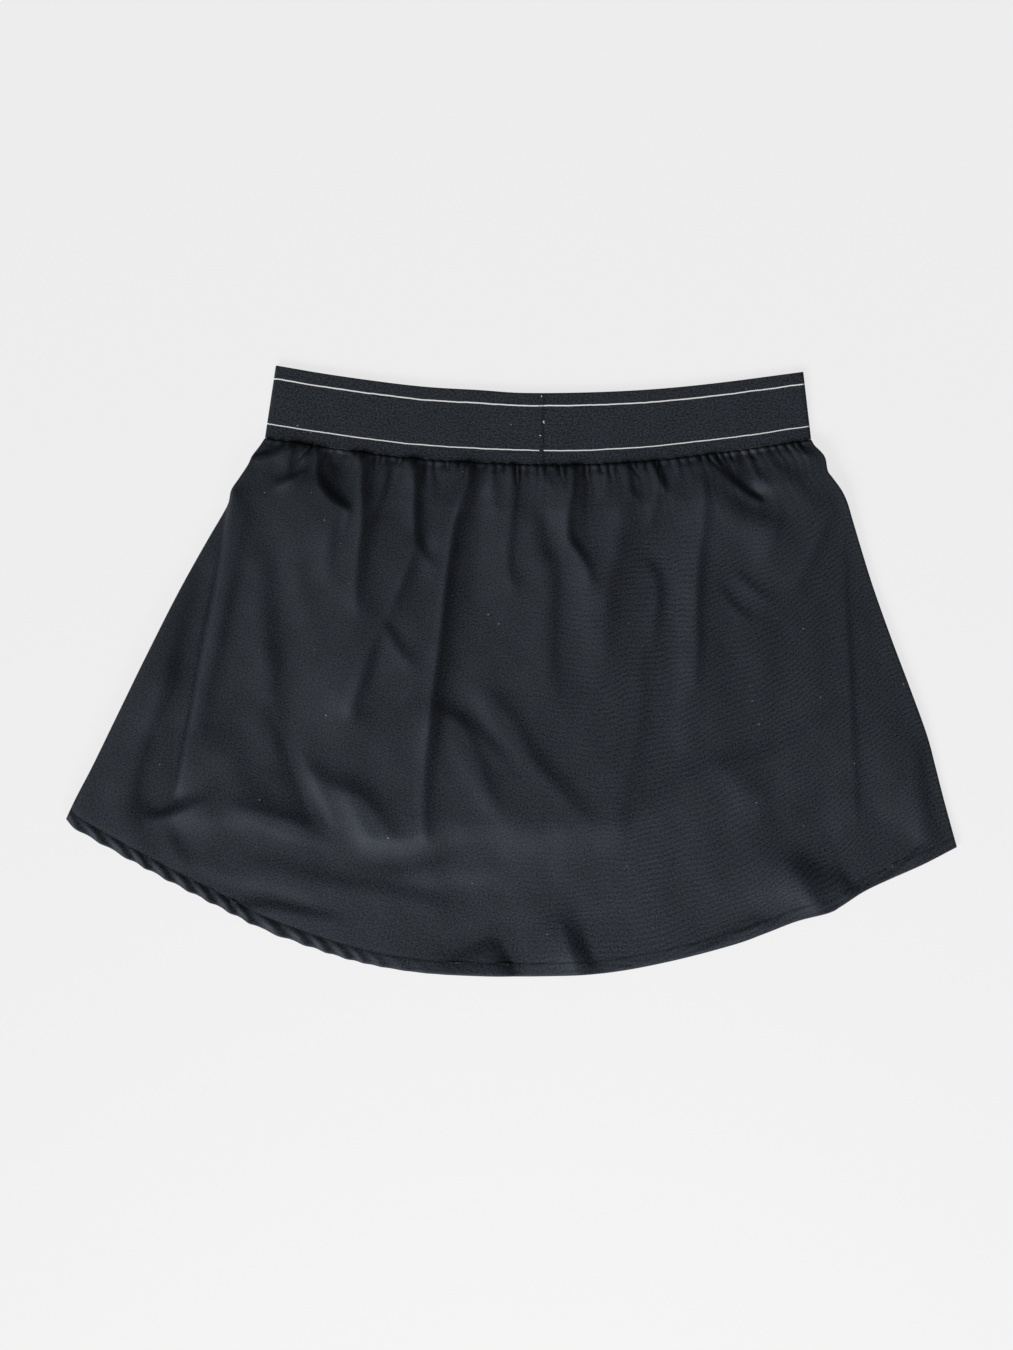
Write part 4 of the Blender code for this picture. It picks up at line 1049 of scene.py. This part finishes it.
def fabric(name, colour):
    """The woven cloth: fine grain, faint cross ribs, a painted highlight on crests and painted shade in
    hollows.
    """
    nodes = Nodes(name)
    uv, u, v = nodes.texture_place()
    relief = nodes.add("ShaderNodeAttribute", {}, "Fac", attribute_name="relief")
    crest = nodes.add("ShaderNodeAttribute", {}, "Fac", attribute_name="crest")
    # Grain of the weave, at the scale of a few threads, and larger patches.
    grain = nodes.noise(uv, scale=900.0, detail=1.5, roughness=0.8)
    patch = nodes.noise(uv, scale=26.0, detail=3.0, roughness=0.55)

    # Cross ribs: they show on the right, rise towards the side and waver over the folds.
    waver = nodes.noise(nodes.stretched(uv, (1.0, 0.3, 1.0)), scale=28.0, detail=1.0)
    beyond = nodes.math("MAXIMUM", u - RIB_LEVEL_AT, 0.0)
    place = v + RIB_DRIFT * (waver - 0.5) + RIB_BEND * relief - RIB_RISE * (beyond * beyond)
    right = nodes.ramp(u, 0.20, 0.36, 0.0, 1.0, "SMOOTHSTEP")
    below = nodes.ramp(v, -0.075, -0.03, 1.0, 0.25, "SMOOTHSTEP")
    rib = nodes.sine(place, RIB_PITCH) * (right * below * (2.0 * patch))

    # Relief and crest paint a highlight onto rises and crests, and paint shade into hollows.
    tone = (5.0 * (grain - 0.5) + 0.25 * (patch - 0.5) + RIB_STRENGTH * rib + 0.10 * relief
            + 0.12 * crest + 1.0)
    return nodes.finish({
        "Base Color": nodes.mix(0.16 * lint(nodes, uv), nodes.scaled(colour, tone), WHITE),
        "Roughness": 0.48 + 0.20 * grain,
        "Normal": nodes.bump(grain + RIB_STRENGTH * rib, strength=0.5, distance=0.00012),
        "Sheen Weight": 0.03,
        "Sheen Roughness": 0.45,
        "Sheen Tint": (0.75, 0.80, 0.90, 1.0),
        "Specular IOR Level": 0.22,
        "Specular Tint": COOL,
    })


def join_place():
    """Where the elastic is joined, along its texture's first axis, in metres."""
    bottom = Line(BAND_BOTTOM)
    return (np.interp(JOIN_X, bottom.curve[:, 0], bottom.reach) - 0.5 * BAND_DEPTH) * MM


def woven_stripes(nodes, height, from_break):
    """1 within each stripe's width around its middle, and 0 beyond its woven edge."""
    stripes = []
    for middle, width in zip(STRIPE_MIDDLES, STRIPE_WIDTHS):
        half = 0.5 * width * MM
        gap = abs(height - middle * MM)
        stripes.append(nodes.ramp(gap, half - STRIPE_EDGE, half + STRIPE_EDGE, 1.0, 0.0))
    lower, upper = stripes
    return nodes.math("MAXIMUM", lower * nodes.ramp(from_break, *STRIPE_BREAK, 0.0, 1.0), upper)


def elastic(name, colour):
    """Ribbed elastic with two white stripes woven in."""
    nodes = Nodes(name)
    uv, u, v = nodes.texture_place()
    grain = nodes.noise(nodes.stretched(uv, (0.8, 1.0, 1.0)), scale=950.0, detail=1.5, roughness=0.8)
    ribs = nodes.noise(nodes.stretched(uv, (0.06, 1.0, 1.0)), scale=900.0, detail=0.0) - 0.5
    patch = nodes.noise(uv, scale=60.0, detail=3.0, roughness=0.6) - 0.5
    cords = nodes.sine(u, CORD_PITCH)
    # The lower stripe is broken just left of the place where the elastic is joined.
    from_break = abs(u - (join_place() - STRIPE_BREAK_LEFT * MM))
    stripes = woven_stripes(nodes, v + 0.0012 * patch + 0.00012 * cords, from_break)
    white = nodes.scaled(STRIPE_WHITE, 0.96 + 0.04 * cords)

    # The elastic is darker along its lower edge and at the join.
    tone = (7.0 * (grain - 0.5) + 0.5 * patch + 0.5 * ribs
            + (nodes.ramp(v, 0.0008, 0.0026, -0.22, 0.0) + nodes.ramp(v, 0.0070, 0.0095, 0.90, 1.03)))
    join = nodes.ramp(abs(u + 0.002 * patch - join_place()), 0.0005, 0.0013, 1.0, 0.0)
    dark = nodes.scaled(colour, tone * (1.0 - 0.5 * join))
    specked = nodes.mix(0.25 * lint(nodes, uv), dark, WHITE)
    return nodes.finish({
        "Base Color": nodes.mix(stripes, specked, white),
        "Roughness": 0.78,
        "Normal": nodes.bump(0.35 * ribs + grain + 0.4 * stripes, strength=0.6, distance=0.00018),
        "Sheen Weight": 0.08,
        "Specular IOR Level": 0.25,
        "Specular Tint": COOL,
    })


def thread(name, colour):
    """Sewing thread with a faint twist."""
    nodes = Nodes(name)
    twist = nodes.noise(nodes.add("ShaderNodeTexCoord", {}, "Object"), scale=4000.0, detail=1.0)
    return nodes.finish({"Base Color": nodes.scaled(colour, 0.8 + 0.4 * twist), "Roughness": 0.55})


def floor_material():
    """A plain pale floor, lit a little from within so that it is as even as the photograph's."""
    return Nodes("pale_floor").finish({
        "Base Color": (FLOOR_SHADE, FLOOR_SHADE, FLOOR_SHADE, 1.0),
        "Roughness": 1.0,
        "Specular IOR Level": 0.0,
        "Emission Color": WHITE,
        "Emission Strength": FLOOR_GLOW,
    })


# --- Stage -----------------------------------------------------------------------
def floor():
    """The pale surface that the skirt lies on."""
    half = FLOOR_SIZE / 2.0
    corners = [(-half, -half), (half, -half), (half, half), (-half, half)]
    mesh = bpy.data.meshes.new("floor")
    mesh.from_pydata([(x, y, -FLOOR_DROP) for x, y in corners], [], [(0, 1, 2, 3)])
    mesh.materials.append(floor_material())
    placed("floor", mesh)


def shining_from(place):
    """How a light turns that shines from there to the frame's origin."""
    return Vector(place).to_track_quat("Z", "Y").to_euler()


def studio():
    """Soft studio light: a wide key from the hem's side and the left, and light from all round."""
    key = bpy.data.lights.new("key", "SUN")
    key.energy = KEY_STRENGTH
    key.angle = math.radians(KEY_WIDTH)
    placed("key", key).rotation_euler = shining_from(KEY_FROM)
    soft_box = bpy.data.lights.new("hem_light", "AREA")
    soft_box.shape = "SQUARE"
    soft_box.size = HEM_LIGHT_SIZE
    soft_box.energy = HEM_LIGHT_POWER
    lamp = placed("hem_light", soft_box)
    lamp.location = HEM_LIGHT_AT
    lamp.rotation_euler = shining_from(HEM_LIGHT_AT)
    world = bpy.data.worlds.new("studio")
    world.use_nodes = True
    background = world.node_tree.nodes["Background"]
    background.inputs["Color"].default_value = WHITE
    background.inputs["Strength"].default_value = FILL_STRENGTH
    bpy.context.scene.world = world
    bpy.context.scene.view_settings.view_transform = "Standard"


def camera():
    """Straight above, with the photograph's frame."""
    wide, tall = PHOTO_SIZE
    origin_x, origin_y = PHOTO_ORIGIN
    pixel = PHOTO_SCALE * MM
    data = bpy.data.cameras.new("camera")
    data.sensor_fit = "VERTICAL"
    data.sensor_height = SENSOR
    data.lens = SENSOR * (CAMERA_HEIGHT - CLOTH_PLANE) / (tall * pixel)
    data.clip_end = 20.0
    eye = placed("camera", data)
    eye.location = (((wide - 1) / 2.0 - origin_x) * pixel, (origin_y - (tall - 1) / 2.0) * pixel,
                    CAMERA_HEIGHT)
    bpy.context.scene.camera = eye


def main():
    """Build every piece, attach it to the root and hide the solids it stands in for, then the stage."""
    panel = Panel()
    cloth = fabric("black_cloth", CLOTH_COLOUR)
    band_material = elastic("black_elastic", ELASTIC_COLOUR)
    dark_thread = thread("dark_thread", DARK_THREAD)
    white_thread = thread("white_thread", WHITE_THREAD)

    back = back_cloth(panel, cloth)
    front = front_cloth(panel, cloth)
    band = waistband(band_material)
    bpy.context.view_layer.update()
    hem = hem_stitches(panel, back, dark_thread)
    join = join_stitches(band, dark_thread)
    ends = join_threads(band, white_thread)

    for piece in (back, front, band, hem, join, ends):
        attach(piece, "root")
    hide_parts("back_panel")
    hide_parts("front_panel")
    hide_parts("waistband")

    floor()
    studio()
    camera()


main()
bpy.context.view_layer.update()
